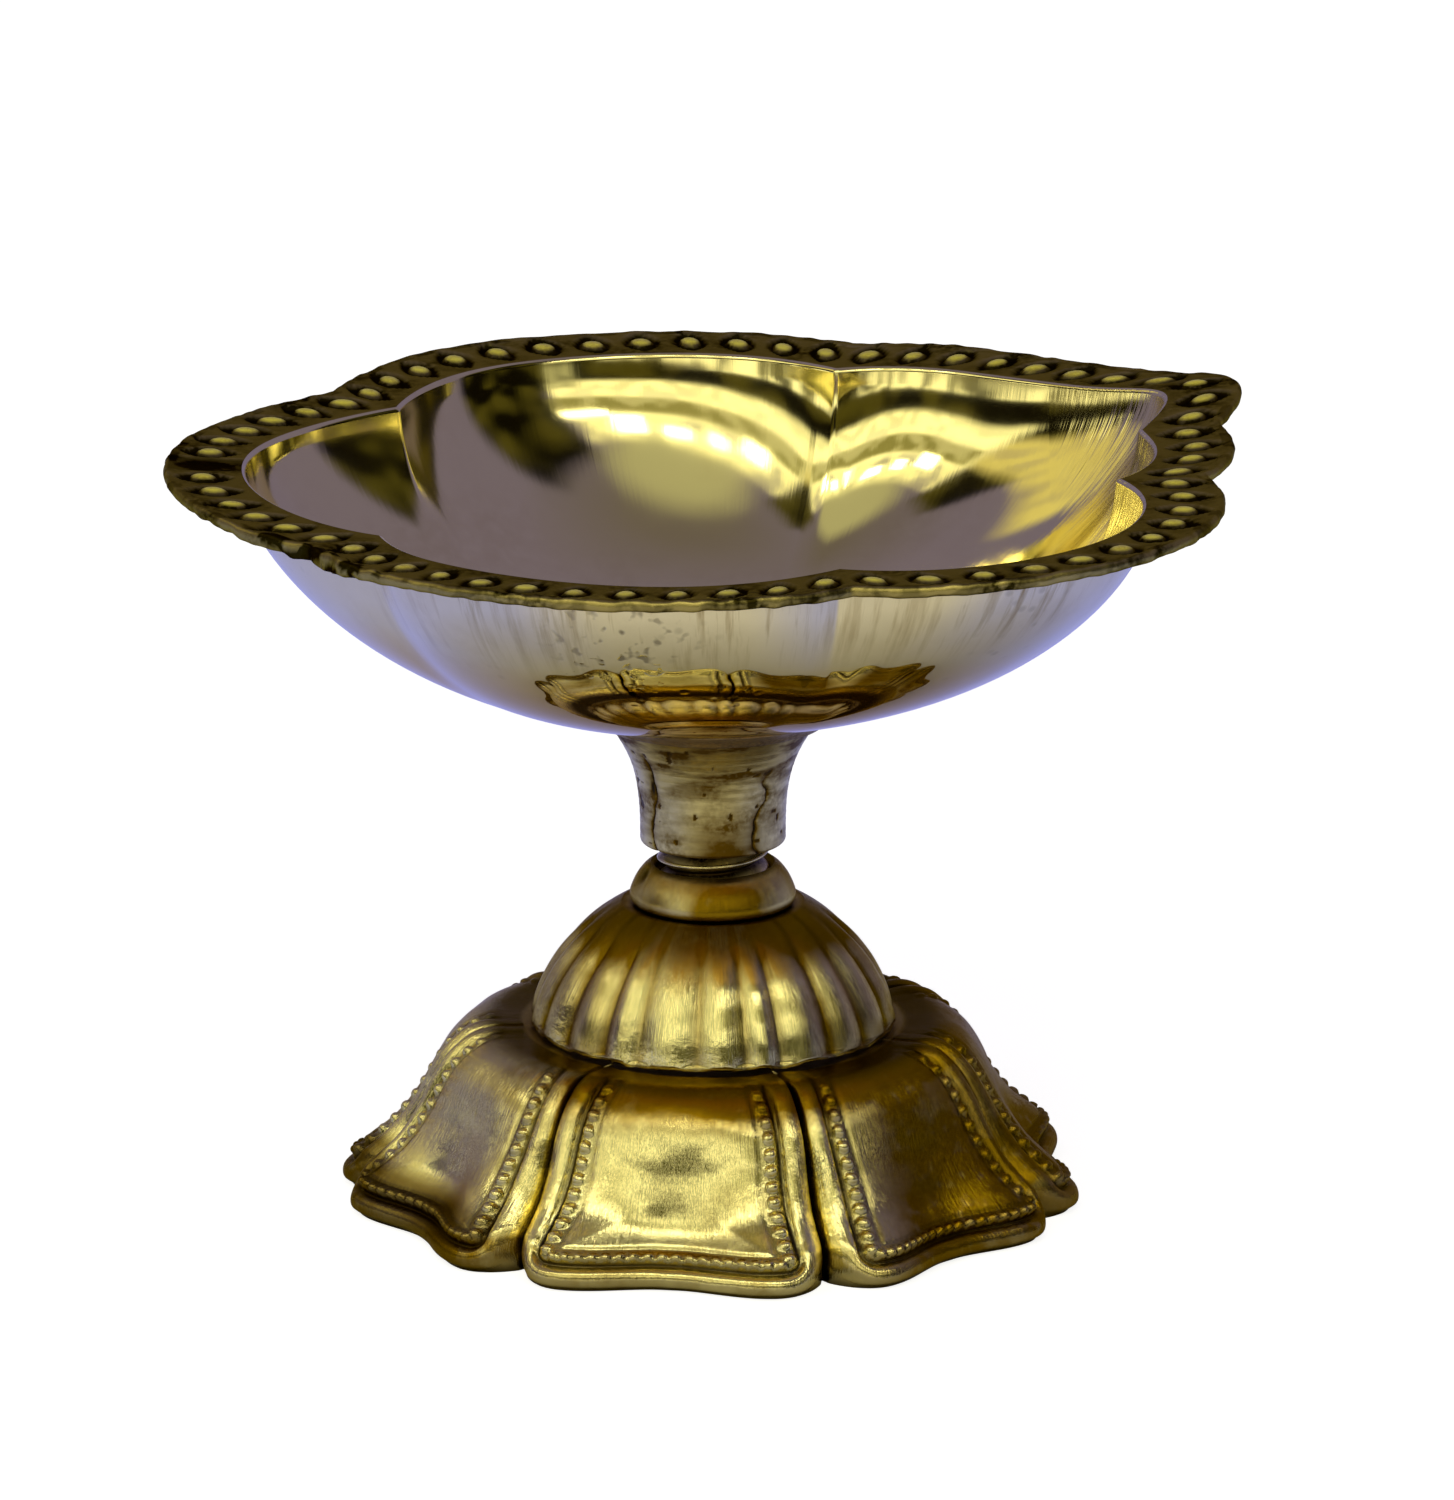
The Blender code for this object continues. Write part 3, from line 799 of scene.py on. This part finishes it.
def build_stem_collar():
    top_z = high_z("stem_collar") + 0.25 * MM
    bore = THREAD_RADIUS + 0.05 * MM
    share = np.linspace(1, 0, 90)
    radius = COLLAR_BASE_RADIUS + (COLLAR_TOP_RADIUS - COLLAR_BASE_RADIUS) * share ** 3
    height = COLLAR_BASE_Z + 0.3 * MM + (top_z - COLLAR_BASE_Z - 0.3 * MM) * share
    turned_rings = 0.008 * MM * np.sin(height / MM * 8.5) + 0.006 * MM * np.sin(height / MM * 19)
    outer = np.column_stack([radius + turned_rings, height])
    foot = [(COLLAR_BASE_RADIUS - 0.3 * MM * (1 - math.cos(turn)),
             COLLAR_BASE_Z + 0.3 * MM * (1 - math.sin(turn))) for turn in np.linspace(0.2, 1.4, 5)]
    lower = [(bore + 0.35 * MM, COLLAR_BASE_Z), (bore, COLLAR_BASE_Z + 0.35 * MM)]
    inner = np.column_stack([np.full(6, bore), np.linspace(COLLAR_BASE_Z + 1 * MM, top_z, 6)])
    profile = np.vstack([outer, foot, lower, inner])[::-1]
    radius, height, angle = spun(profile, 320)
    points = placed(radius, height, angle)
    outside = radius > COLLAR_BASE_RADIUS - 0.5 * MM
    hollow = np.zeros(radius.shape)
    climb = (height - COLLAR_BASE_Z) / MM
    line = np.stack([climb, 0 * climb, 0 * climb], -1)
    for heading, reach, wander in CRACKS:
        jagged = bumps(line, 2.4, seed=heading) + 0.5 * bumps(line, 0.8, seed=heading + 1)
        path = math.radians(heading) + np.radians(wander) * jagged
        gap = (angle - path + math.pi) % (2 * math.pi) - math.pi
        gap = gap * COLLAR_BASE_RADIUS / MM
        crack = np.exp(-(gap / (0.11 + 0.05 * bumps(line, 1.1, seed=9))) ** 2)
        crack = (crack + 0.35 * np.exp(-(gap / 0.5) ** 2)) * step_up(reach - climb, 0, 2) * outside
        radius = radius - 0.2 * MM * crack
        hollow = np.clip(np.maximum(hollow, crack), 0, 1)
    gap = (angle - math.radians(BURN_HEADING) + math.pi) % (2 * math.pi) - math.pi
    gap = gap * COLLAR_BASE_RADIUS / MM
    burn = np.exp(-(gap / 0.55) ** 2 - ((climb - BURN_CLIMB) / 1.2) ** 2)
    burn = burn * outside * (0.7 + 0.6 * bumps(points, 0.5 * MM, seed=14))
    radius = radius - 0.15 * MM * np.clip(burn, 0, 1)
    hollow = np.maximum(hollow, np.clip(burn * 1.4, 0, 1))
    pits = (bumps(points, 0.75 * MM, seed=12) > 0.72) * outside
    radius = radius - 0.06 * MM * pits - 0.03 * MM * bumps(points, 2.5 * MM, seed=13) * outside
    hollow = np.maximum(hollow, pits * 0.8)
    collar = skin("turned_stem", placed(radius, height, angle), True, {"hollow": hollow})
    collar.data.materials.append(stem_turned)
    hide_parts("stem_collar")
    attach(collar, "bowl_assembly")


def build_stud():
    low = low_z("stem_stud")
    high = high_z("stem_stud")
    depth = 0.95 * MM
    rows = np.arange(low, high, 0.09 * MM)
    angle = np.linspace(0, 2 * math.pi, 120, endpoint=False)
    height, angle = np.meshgrid(rows, angle, indexing="ij")
    phase = (height / THREAD_PITCH - angle / (2 * math.pi)) % 1.0
    crest = np.clip(np.abs(phase - 0.5) * 2.6 - 0.15, 0, 1)
    ends = step_up(height, low, low + 1.2 * MM) * (0.35 + 0.65 * step_up(high - height, 0, 1.2 * MM))
    radius = THREAD_RADIUS - depth * (1 - crest * ends)
    # The hollow value paints shade into the roots of the thread.
    stud = skin("threaded_stud", placed(radius, height, angle), False, {"hollow": 1 - crest * ends})
    stud.data.materials.append(thread_brass)
    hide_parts("stem_stud")
    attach(stud, "stud")


def build_bush():
    under_z = DOME_TOP_Z + 0.02 * MM
    bore = THREAD_RADIUS + 0.07 * MM
    shoulder = curve_through([
        (BUSH_RADIUS - 1.75 * MM, BUSH_TOP_Z),
        (BUSH_RADIUS - 1.15 * MM, BUSH_TOP_Z - 0.45 * MM),
        (BUSH_RADIUS - 0.55 * MM, BUSH_TOP_Z - 1.25 * MM),
        (BUSH_RADIUS - 0.12 * MM, BUSH_TOP_Z - 2.2 * MM),
        (BUSH_RADIUS, BUSH_TOP_Z - 2.75 * MM),
        (BUSH_RADIUS - 0.15 * MM, under_z + 0.15 * MM),
        (BUSH_RADIUS - 0.6 * MM, under_z - 0.1 * MM),
    ], 44)
    spigot = CROWN_BORE - 0.3 * MM
    below = [(spigot, under_z - 0.1 * MM), (spigot, BUSH_SPIGOT_Z), (bore, BUSH_SPIGOT_Z)]
    inner = [(bore, BUSH_TOP_Z - 0.5 * MM), (bore + 0.4 * MM, BUSH_TOP_Z)]
    profile = np.vstack([shoulder, below, inner])[::-1]
    radius, height, angle = spun(profile, 200)
    points = placed(radius, height, angle)
    turn = (np.degrees(angle) - 192 + 180) % 360 - 180
    chip = np.exp(-(turn / 9) ** 2) * np.exp(-((height - BUSH_TOP_Z + 0.9 * MM) / (0.7 * MM)) ** 2)
    chip = chip * (radius > BUSH_RADIUS - 2 * MM)
    outside = radius > BUSH_RADIUS - 2 * MM
    radius = radius - 0.45 * MM * chip + 0.03 * MM * bumps(points, 2.2 * MM, seed=21) * outside
    # Painted shade in the seam against the dome, in the mouth of the bore and in the chip.
    seam = np.exp(-((height - under_z) / (0.35 * MM)) ** 2) * outside
    mouth = step_up(height, BUSH_TOP_Z - 0.35 * MM, BUSH_TOP_Z) * 0.7
    darkened = 0.72 + 0.55 * bumps(points, 3 * MM, seed=22)
    painted_shade = np.clip(chip + seam + mouth, 0, 1)
    bush = skin(
        "bush_ring", placed(radius, height, angle), True,
        {"hollow": np.clip(darkened, 0, 1), "painted_shade": painted_shade, "grain": np.full(radius.shape, 0.2)},
    )
    bush.data.materials.append(dome_brass)
    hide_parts("threaded_bush")
    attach(bush, "pedestal")


def build_bowl_fillet():
    """The uneven fillet of braze between the stem's flared top and the bowl."""
    profile = curve_through([
        (COLLAR_TOP_RADIUS + 1.9 * MM, BOWL_BASE_Z + 0.25 * MM),
        (COLLAR_TOP_RADIUS + 0.9 * MM, BOWL_BASE_Z - 0.25 * MM),
        (COLLAR_TOP_RADIUS, BOWL_BASE_Z - 0.75 * MM),
        (COLLAR_TOP_RADIUS - 0.6 * MM, BOWL_BASE_Z - 1.3 * MM),
    ], 14)
    back = [(COLLAR_TOP_RADIUS - 1.2 * MM, BOWL_BASE_Z - 0.6 * MM),
            (COLLAR_TOP_RADIUS - 1.0 * MM, BOWL_BASE_Z + 0.1 * MM)]
    radius, height, angle = spun(np.vstack([profile, back])[::-1], 160)
    points = placed(radius, height, angle)
    radius = radius + 0.18 * MM * bumps(points, 1.8 * MM, seed=31)
    fillet = skin("bowl_fillet", placed(radius, height, angle), True)
    fillet.data.materials.append(braze_fillet)
    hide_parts("bowl_braze")
    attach(fillet, "bowl_assembly")


# ---------------------------------------------------------------- foot

def dome_radius(height):
    level = (height - DOME_CENTRE_Z) / DOME_HEIGHT_RADIUS
    return DOME_EDGE_RADIUS * np.sqrt(1 - level * level)


def build_dome():
    columns = FLUTES * 26
    climb = np.sin(np.linspace(0.0, math.pi / 2, 70))
    heights = DOME_EDGE_Z + 0.25 * MM + (DOME_TOP_Z - DOME_EDGE_Z - 0.25 * MM) * climb
    outer = np.column_stack([dome_radius(heights), heights])
    crown = [(CROWN_BORE, DOME_TOP_Z), (CROWN_BORE, DOME_TOP_Z - DOME_WALL)]
    inner_heights = np.linspace(DOME_TOP_Z - DOME_WALL, DOME_EDGE_Z, 10)
    inner = np.column_stack([dome_radius(inner_heights) - DOME_WALL, inner_heights])
    lip = [(DOME_EDGE_RADIUS - 0.9 * MM, DOME_EDGE_Z), (DOME_EDGE_RADIUS - 0.45 * MM, DOME_EDGE_Z)]
    profile = np.vstack([outer, crown, inner, lip])
    radius, height, angle = spun(profile, columns)
    picker = np.random.default_rng(4)
    edges = np.arange(FLUTES + 1) + np.append(picker.uniform(-0.2, 0.2, FLUTES), 0)
    edges[-1] = edges[0] + FLUTES
    turn = (angle / (2 * math.pi) * FLUTES - edges[0]) % FLUTES + edges[0]
    flute = np.interp(turn, edges, np.arange(FLUTES + 1)) % 1.0
    shape = (0.5 - 0.5 * np.cos(flute * 2 * math.pi)) ** 0.6
    outside = np.zeros(len(profile))
    outside[:len(outer)] = 1
    outside = outside[:, None]
    rise = (height - DOME_EDGE_Z) / (DOME_TOP_Z - DOME_EDGE_Z)
    depth = FLUTE_DEPTH * step_up(1 - rise, 0.02, 0.35) * outside
    points = placed(radius, height, angle)
    rough = 0.025 * MM * bumps(points, 1.3 * MM, seed=41) + 0.05 * MM * bumps(points, 3.4 * MM, seed=42)
    radius = radius - depth * (1 - shape) + rough * outside
    ragged = 0.14 * MM * bumps(points, 0.9 * MM, seed=43) + 0.16 * MM * bumps(points, 3.0 * MM, seed=44)
    height = height + ragged * step_up(1 - rise, 0.90, 1.0)
    # Dark amber in the flute valleys, on the top under the bush and on the flanks away from the front:
    # painted shade mixed with tarnish. Near-black painted shade along the bottom edge against the skirt
    # and in the valleys on the flanks.
    valley = np.clip((0.5 - shape) / 0.5, 0, 1) * outside
    top = step_up(rise, 0.60, 0.90) * outside
    aside = np.abs((angle - DOME_FRONT + math.pi) % (2 * math.pi) - math.pi)
    flank = step_up(aside, 0.40, 0.78) * outside * (0.62 + 0.38 * bumps(points, 7 * MM, seed=46))
    hollow = np.clip(0.55 * valley + 0.85 * top + 0.9 * flank, 0, 1)
    edge = (1 - step_up(rise, 0.0, 0.04)) * outside
    painted_shade = np.clip(0.45 * valley * flank + 0.35 * top + 0.2 * edge, 0, 1)
    lower = step_up(1 - rise, 0.45, 0.95)
    grain = np.clip(lower * (0.35 + 0.9 * bumps(points, 6 * MM, seed=45)), 0.08, 1)
    dome = skin(
        "domed_casting", placed(radius, height, angle), True,
        {"hollow": hollow, "painted_shade": painted_shade, "grain": grain},
    )
    dome.data.materials.append(dome_brass)
    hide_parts("fluted_dome")
    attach(dome, "pedestal")


# Sections of a petal in millimetres of (radius, height), shoulder to edge: through its middle,
# and along its ribbed sides.
PETAL_MIDDLE = [
    (16.6, 14.9), (19.4, 14.5), (21.7, 12.6), (23.2, 10.2), (24.3, 7.6),
    (25.5, 4.9), (26.9, 3.4), (28.1, 2.5), (28.7, 1.3), (28.4, 0.0),
]
PETAL_SIDE = [
    (16.6, 14.9), (19.6, 14.7), (22.1, 13.0), (24.0, 10.6), (25.5, 8.2),
    (27.4, 5.8), (29.5, 4.0), (30.7, 3.0), (31.2, 1.6), (30.9, 0.0),
]
CORNER_SHARE = 0.64              # where a petal flares most, from its middle to its edge
NOTCH_TOP = 0.5 * MM             # how far the valley between petals cuts in, above and below
NOTCH_BASE = 3.3 * MM
PETAL_COLUMNS = 150
SECTION_ROWS = 150

CORNER_RADIUS = 3.2 * MM         # the border's bend at each lower corner of a petal
LIP_WIDTH = 2.0 * MM
LIP_HEIGHT = 0.62 * MM
GROOVE = 2.25 * MM               # the groove's middle, in from the petal's edge
DOT_LINE = 3.0 * MM
DOT_RADIUS = 0.50 * MM
SIDE_DOT_PITCH = 1.38 * MM
BASE_DOT_PITCH = 1.10 * MM
DOT_HEIGHT = 0.40 * MM
GROOVE_DEPTH = 0.36 * MM
INNER_GROOVE_DEPTH = 0.14 * MM
VALLEY_DEPTH = 0.75 * MM
VALLEY_HALF_WIDTH = 0.34 * MM
PANEL_RISE = 0.30 * MM
SHOULDER_BULGE = 0.45 * MM


def petal_surface():
    """The skirt's outer surface, shape (rows, around, 3), with its border coordinates."""
    middle = curve_through(PETAL_MIDDLE, SECTION_ROWS) * MM
    side = curve_through(PETAL_SIDE, SECTION_ROWS) * MM
    share = np.arange(PETAL_COLUMNS) / PETAL_COLUMNS
    across = np.sin((share * 2 - 1) * math.pi / 2 * 0.92) / math.sin(math.pi / 2 * 0.92)
    lean = step_up(np.abs(across), 0.04, CORNER_SHARE + 0.04)
    radius = middle[:, None, 0] * (1 - lean) + side[:, None, 0] * lean
    height = middle[:, None, 1] * (1 - lean) + side[:, None, 1] * lean
    low_down = step_up(np.linspace(0, 1, SECTION_ROWS), 0.30, 0.92)[:, None]
    notch = np.clip((np.abs(across) - CORNER_SHARE) / (1 - CORNER_SHARE), 0, 1) ** 2.3
    radius = radius - (NOTCH_TOP + (NOTCH_BASE - NOTCH_TOP) * low_down) * notch
    return radius, height, across


def border_relief(radius, height, across):
    """Relief of one petal's border over its surface, where it gets painted shade, and where it is
    grainy.
    """
    step = np.hypot(np.diff(radius, axis=0), np.diff(height, axis=0))
    down = np.vstack([np.zeros((1, radius.shape[1])), np.cumsum(step, axis=0)])
    up = down[-1:] - down
    half_width = radius * math.pi / PETALS
    widening = 1 + 0.22 * step_up(down, 6 * MM, 15 * MM)
    inward = (1 - np.abs(across))[None, :] * half_width / widening
    side_gap = CORNER_RADIUS - inward
    base_gap = CORNER_RADIUS - up
    in_corner = (side_gap > 0) & (base_gap > 0)
    distance = np.where(in_corner, CORNER_RADIUS - np.hypot(side_gap, base_gap), np.minimum(inward, up))
    on_side = inward < up
    run = np.where(on_side, up / SIDE_DOT_PITCH, across[None, :] * half_width / BASE_DOT_PITCH)
    dot_pitch = np.where(on_side, SIDE_DOT_PITCH, BASE_DOT_PITCH)
    along = (run % 1.0 - 0.5) * dot_pitch
    dot_reach = np.where(on_side, DOT_RADIUS, DOT_RADIUS * 0.8)
    dots = np.sqrt(np.clip(
        1 - ((distance - DOT_LINE) / dot_reach) ** 2 - (along / dot_reach) ** 2, 0, None
    ))
    lip = np.sin(np.clip((distance + 0.1 * MM) / (LIP_WIDTH + 0.1 * MM), 0, 1) * math.pi) ** 0.7
    cut = np.exp(-((distance - GROOVE) / (0.24 * MM)) ** 2)
    inner_cut = np.exp(-((distance - DOT_LINE - 0.80 * MM) / (0.24 * MM)) ** 2)
    valley = step_up(VALLEY_HALF_WIDTH - inward, 0.0, VALLEY_HALF_WIDTH)
    bed = np.clip(hump(distance, DOT_LINE, 0.85 * MM), 0, 1)
    top_fade = step_up(down, 1.2 * MM, 5.0 * MM)
    panel = step_up(distance, DOT_LINE + 0.7 * MM, DOT_LINE + 5.0 * MM)
    relief_height = (
        LIP_HEIGHT * lip * (0.15 + 0.85 * top_fade)
        - GROOVE_DEPTH * cut * top_fade
        - INNER_GROOVE_DEPTH * inner_cut * top_fade
        - 0.10 * MM * bed * top_fade
        + DOT_HEIGHT * dots * top_fade
        - VALLEY_DEPTH * valley * (0.3 + 0.7 * top_fade)
        + PANEL_RISE * panel * top_fade
        + SHOULDER_BULGE * hump(down, 5.4 * MM, 5.2 * MM) ** 2 * (1 - across ** 2)
    )
    # Painted shade: a painted shadow below the dome, shade under the lip, and dark grooves, valleys and
    # dot beds.
    shadow = 0.95 - 0.95 * step_up(down, 1.6 * MM, 4.6 * MM)
    under_lip = 0.8 * step_up(LIP_WIDTH * 0.55 - up, 0.0, LIP_WIDTH * 0.5)
    painted_shade = np.clip(
        0.9 * cut * top_fade + 0.85 * valley + bed * (1 - dots) * 0.35 * top_fade
        + inner_cut * 0.35 * top_fade + shadow + under_lip, 0, 1
    )
    grain = np.clip(0.15 + bed + 0.4 * lip, 0, 1)
    return relief_height, painted_shade, grain


def build_skirt():
    radius, height, across = petal_surface()
    relief_height, painted_shade, grain = border_relief(radius, height, across)
    slope_r = np.gradient(radius, axis=0)
    slope_z = np.gradient(height, axis=0)
    length = np.hypot(slope_r, slope_z)
    normal_r = -slope_z / length
    normal_z = slope_r / length
    last = np.arange(len(radius)) / (len(radius) - 1)
    keep = 1 - 0.7 * step_up(last, 0.96, 1.0)[:, None]
    radius = radius + normal_r * relief_height * keep
    height = height + normal_z * relief_height * keep

    share = (across + 1) / 2
    all_angle = np.radians(np.concatenate([
        start + (end - start) * share for start, end in zip(PETAL_EDGES, PETAL_EDGES[1:])
    ]))

    def around(values):
        return np.tile(values, (1, PETALS))

    outer = placed(around(radius), around(height), np.repeat(all_angle[None, :], len(radius), axis=0))
    rough = 0.035 * MM * bumps(outer, 1.6 * MM, seed=51) + 0.13 * MM * bumps(outer, 5.0 * MM, seed=52)
    out = outer[..., :2] / np.linalg.norm(outer[..., :2], axis=-1, keepdims=True)
    outer[..., :2] += out * (rough * around(keep * np.ones(radius.shape)))[..., None]
    outer[..., 2] = np.maximum(outer[..., 2], 0)

    turn = (all_angle + math.pi / 2 + math.pi) % (2 * math.pi) - math.pi
    # Darker to the right and at the back: tarnish, and painted shade on the right side.
    darkened = step_up(turn, 0.32, 0.75) + step_up(-turn, 1.8, 2.3)
    down = np.linspace(0, 1, len(radius))[:, None]
    # Painted shade on the petals' tops, under the dome's rim.
    crown = (1.2 - 1.2 * step_up(down, 0.22, 0.40)) * (0.25 + 0.75 * step_up(turn, -0.72, -0.55))
    # Painted shade on the lower lips of the left petals.
    left_hem = step_up(-turn, 0.55, 0.95) * step_up(down, 0.70, 0.80)
    darkened = darkened * (1 - 0.35 * step_up(down, 0.84, 0.90))
    # Painted shade on the lip's face, deeper away from the front.
    hem = step_up(down, 0.84, 0.88) * (0.3 + 0.7 * step_up(np.abs(turn + 0.1), 0.35, 0.8))
    darkened = np.maximum(np.maximum(darkened, crown), np.maximum(left_hem, hem))
    hollow = np.clip(0.85 * darkened + 0.2 * bumps(outer, 9 * MM, seed=53), 0, 1)

    rings = list(outer)
    base_radius = np.linalg.norm(outer[-1, :, :2], axis=-1)
    for inset, level in ((0.6, 0.0), (SKIRT_WALL / MM, 0.0), (SKIRT_WALL / MM + 0.1, 1.2)):
        rings.append(placed(base_radius - inset * MM, np.full(len(base_radius), level * MM), all_angle))
    for row in np.linspace(0.72, 0.12, 9):
        pick = int(row * (SECTION_ROWS - 1))
        smooth_radius = np.interp(row, last, curve_through(PETAL_MIDDLE, SECTION_ROWS)[:, 0]) * MM
        side_radius = around(radius[pick:pick + 1])[0]
        inner_radius = np.minimum(side_radius, smooth_radius + 1.4 * MM) - SKIRT_WALL - 0.4 * MM
        rings.append(placed(inner_radius, np.full(len(side_radius), height[pick, PETAL_COLUMNS // 2]
                                                  - 1.2 * MM), all_angle))
    count = len(all_angle)
    for radius_here, level in (
        (SEAT_INNER_RADIUS, SEAT_Z - 2.0 * MM), (SEAT_INNER_RADIUS, SEAT_Z),
        (DOME_EDGE_RADIUS + 0.2 * MM, SEAT_Z),
    ):
        rings.append(placed(np.full(count, radius_here), np.full(count, level), all_angle))
    rings = np.array(rings)[::-1]
    hidden = np.full((len(rings) - len(outer), count), 0.5)
    skirt = skin("petal_foot", rings, True, {
        "hollow": np.vstack([hidden, hollow[::-1]]),
        "painted_shade": np.vstack([hidden, np.clip(around(painted_shade) + 0.45 * left_hem, 0, 1)[::-1]]),
        "grain": np.vstack([hidden, around(grain)[::-1]]),
    })
    skirt.data.materials.append(petal_brass)
    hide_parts("petal_skirt")
    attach(skirt, "pedestal")


def finish_hidden_fillets():
    for node in ("bush_braze", "skirt_braze"):
        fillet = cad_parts[node]
        fillet.data.materials.clear()
        fillet.data.materials.append(braze_fillet)


# ---------------------------------------------------------------- studio

def build_floor():
    """A plain pale sheet that glows evenly to the camera; in the brass it glows grey in front and blue
    at the sides, with a painted contact shadow round the foot.
    """
    bm = bmesh.new()
    corners = [bm.verts.new((x, y, 0)) for x, y in ((-4, -4), (4, -4), (4, 4), (-4, 4))]
    bm.faces.new(corners)
    mesh = bpy.data.meshes.new("studio_floor")
    bm.to_mesh(mesh)
    bm.free()
    floor = bpy.data.objects.new("studio_floor", mesh)
    bpy.context.scene.collection.objects.link(floor)
    material, tree, shader = new_material("pale_floor", metallic=0.0)
    fill(tree, shader, {
        "Base Color": (0.55, 0.55, 0.56, 1), "Roughness": 0.9, "Emission Strength": 1.0,
    })
    seen = add(tree, "LightPath").outputs["Is Camera Ray"]
    place = on_piece(tree)
    parts = axes(tree, place)
    heading = maths(tree, "ABSOLUTE", maths(tree, "ARCTAN2", parts[0], times(tree, parts[1], -1.0)))
    front, sides = (0.32, 0.31, 0.33, 1), (0.12, 0.16, 0.60, 1)
    sheet = blended(tree, ranged(tree, heading, 0.45, 1.0), front, sides)
    # Painted contact shadow: the floor as the brass mirrors it darkens to near black round the foot.
    from_foot = ranged(tree, distance_to(tree, place, (0, 0, 0)), 0.032, 0.080)
    shaded = blended(tree, from_foot, (0.02, 0.02, 0.03, 1), sheet)
    glow = blended(tree, seen, shaded, (0.86, 0.86, 0.84, 1))
    fill(tree, shader, {"Emission Color": glow})
    floor.data.materials.append(material)


LEMON = (1.0, 0.98, 0.84)
LAMPS_AIM = Vector((0, 0, 0.04))
LAMPS_AWAY = 1.0


def soft_light(name, heading, climb, width, tall, brightness):
    """A softbox aimed at the bowl; heading in degrees from the front towards +X."""
    turn = math.radians(heading)
    rise = math.radians(climb)
    out = Vector((math.sin(turn) * math.cos(rise), -math.cos(turn) * math.cos(rise), math.sin(rise)))
    data = bpy.data.lights.new(name, "AREA")
    data.shape = "RECTANGLE"
    data.size = width
    data.size_y = tall
    data.energy = brightness * math.pi * width * tall
    data.color = LEMON
    light = bpy.data.objects.new(name, data)
    light.location = LAMPS_AIM + out * LAMPS_AWAY
    light.rotation_euler = (-out).to_track_quat("-Z", "Y").to_euler()
    bpy.context.scene.collection.objects.link(light)


def span(tree, value, low, high, soft):
    """1 between low and high degrees, falling to 0 over soft degrees outside them."""
    low, high, soft = (math.radians(turn) for turn in (low, high, soft))
    return times(
        tree, ranged(tree, value, low - soft, low),
        ranged(tree, value, high, high + soft, 1.0, 0.0),
    )


def build_lights():
    soft_light("lamp_far_left", -52, 50, 0.15, 0.14, 5.0)
    soft_light("lamp_left", -33, 54, 0.10, 0.09, 6.0)
    soft_light("lamp_middle", -12, 56, 0.14, 0.08, 6.0)
    soft_light("lamp_right", 14, 54, 0.16, 0.16, 6.0)
    soft_light("lamp_far_right", 33, 48, 0.26, 0.06, 6.0)
    world = bpy.data.worlds.new("studio")
    bpy.context.scene.world = world
    world.use_nodes = True
    tree = world.node_tree
    way = add(tree, "TexCoord").outputs["Generated"]
    parts = axes(tree, way)
    heading = maths(tree, "ARCTAN2", parts[0], times(tree, parts[1], -1.0))
    climb = maths(tree, "ARCSINE", parts[2])
    frames = noise(tree, way, 9.0, 0.5)

    def panel(room, sides, climbs, soft, colour, cloudy=0.0):
        """The room with a soft-edged panel over it; sides and climbs are pairs of degrees."""
        share = times(
            tree, span(tree, heading, *sides, soft), span(tree, climb, *climbs, soft)
        )
        if cloudy:
            share = times(tree, share, ranged(tree, frames, 0.38, 0.54, 1 - cloudy, 1.0))
        return blended(tree, share, room, colour)

    walls, ceiling = (0.175, 0.150, 0.36, 1), (0.14, 0.12, 0.18, 1)
    room = blended(tree, ranged(tree, climb, 0.95, 1.40), walls, ceiling)
    overhead = add(
        tree, "VectorMath", {0: way, 1: (-0.059, -0.337, 0.940)}, operation="DOT_PRODUCT"
    ).outputs["Value"]
    room = blended(tree, ranged(tree, overhead, 0.93, 0.975), room, (0.44, 0.43, 0.36, 1))
    cloud = ranged(tree, noise(tree, way, 4.0, 0.5), 0.42, 0.62)
    gloom = blended(tree, cloud, (0.004, 0.003, 0.001, 1), (0.07, 0.06, 0.012, 1))
    room = panel(room, (46, 90), (-57, 62), 7, gloom)
    room = panel(room, (-90, 50), (-17, 27), 5, gloom)
    room = panel(room, (-96, -76), (43, 62), 5, gloom)
    room = panel(room, (-134, -75), (30, 41), 5, (0.75, 0.66, 0.32, 1), 0.3)
    room = panel(room, (-71, 38), (44, 58), 4, (1.25, 1.20, 0.88, 1), 0.65)
    room = panel(room, (-71, 38), (24, 45), 4, (1.55, 1.50, 1.15, 1), 0.3)
    room = panel(room, (-71, 44), (36, 44), 2, (0.30, 0.28, 0.12, 1), 0.35)
    room = panel(room, (29, 38), (10, 26), 3, (0.45, 0.44, 0.32, 1), 0.4)
    room = panel(room, (-88, 18), (2, 7), 2, (1.50, 1.45, 1.15, 1), 0.9)
    seen = add(tree, "LightPath").outputs["Is Camera Ray"]
    fill(tree, tree.nodes["Background"], {"Color": blended(tree, seen, room, (1, 1, 1, 1))})
    bpy.context.scene.view_settings.view_transform = "Standard"


def build_camera():
    """A long lens a metre away, looking down at the lamp by 16 degrees."""
    elevation = math.radians(16.0)
    distance = 1.0
    target = Vector((0.0012, 0.0, 0.0388))
    data = bpy.data.cameras.new("camera")
    data.sensor_width = 36.0
    data.lens = 283.0
    camera = bpy.data.objects.new("camera", data)
    camera.location = target + Vector((0, -math.cos(elevation), math.sin(elevation))) * distance
    camera.rotation_euler = (target - camera.location).to_track_quat("-Z", "Y").to_euler()
    bpy.context.scene.collection.objects.link(camera)
    bpy.context.scene.camera = camera


build_camera()
build_bowl()
build_stem_collar()
build_stud()
build_bush()
build_bowl_fillet()
build_dome()
build_skirt()
finish_hidden_fillets()
build_floor()
build_lights()
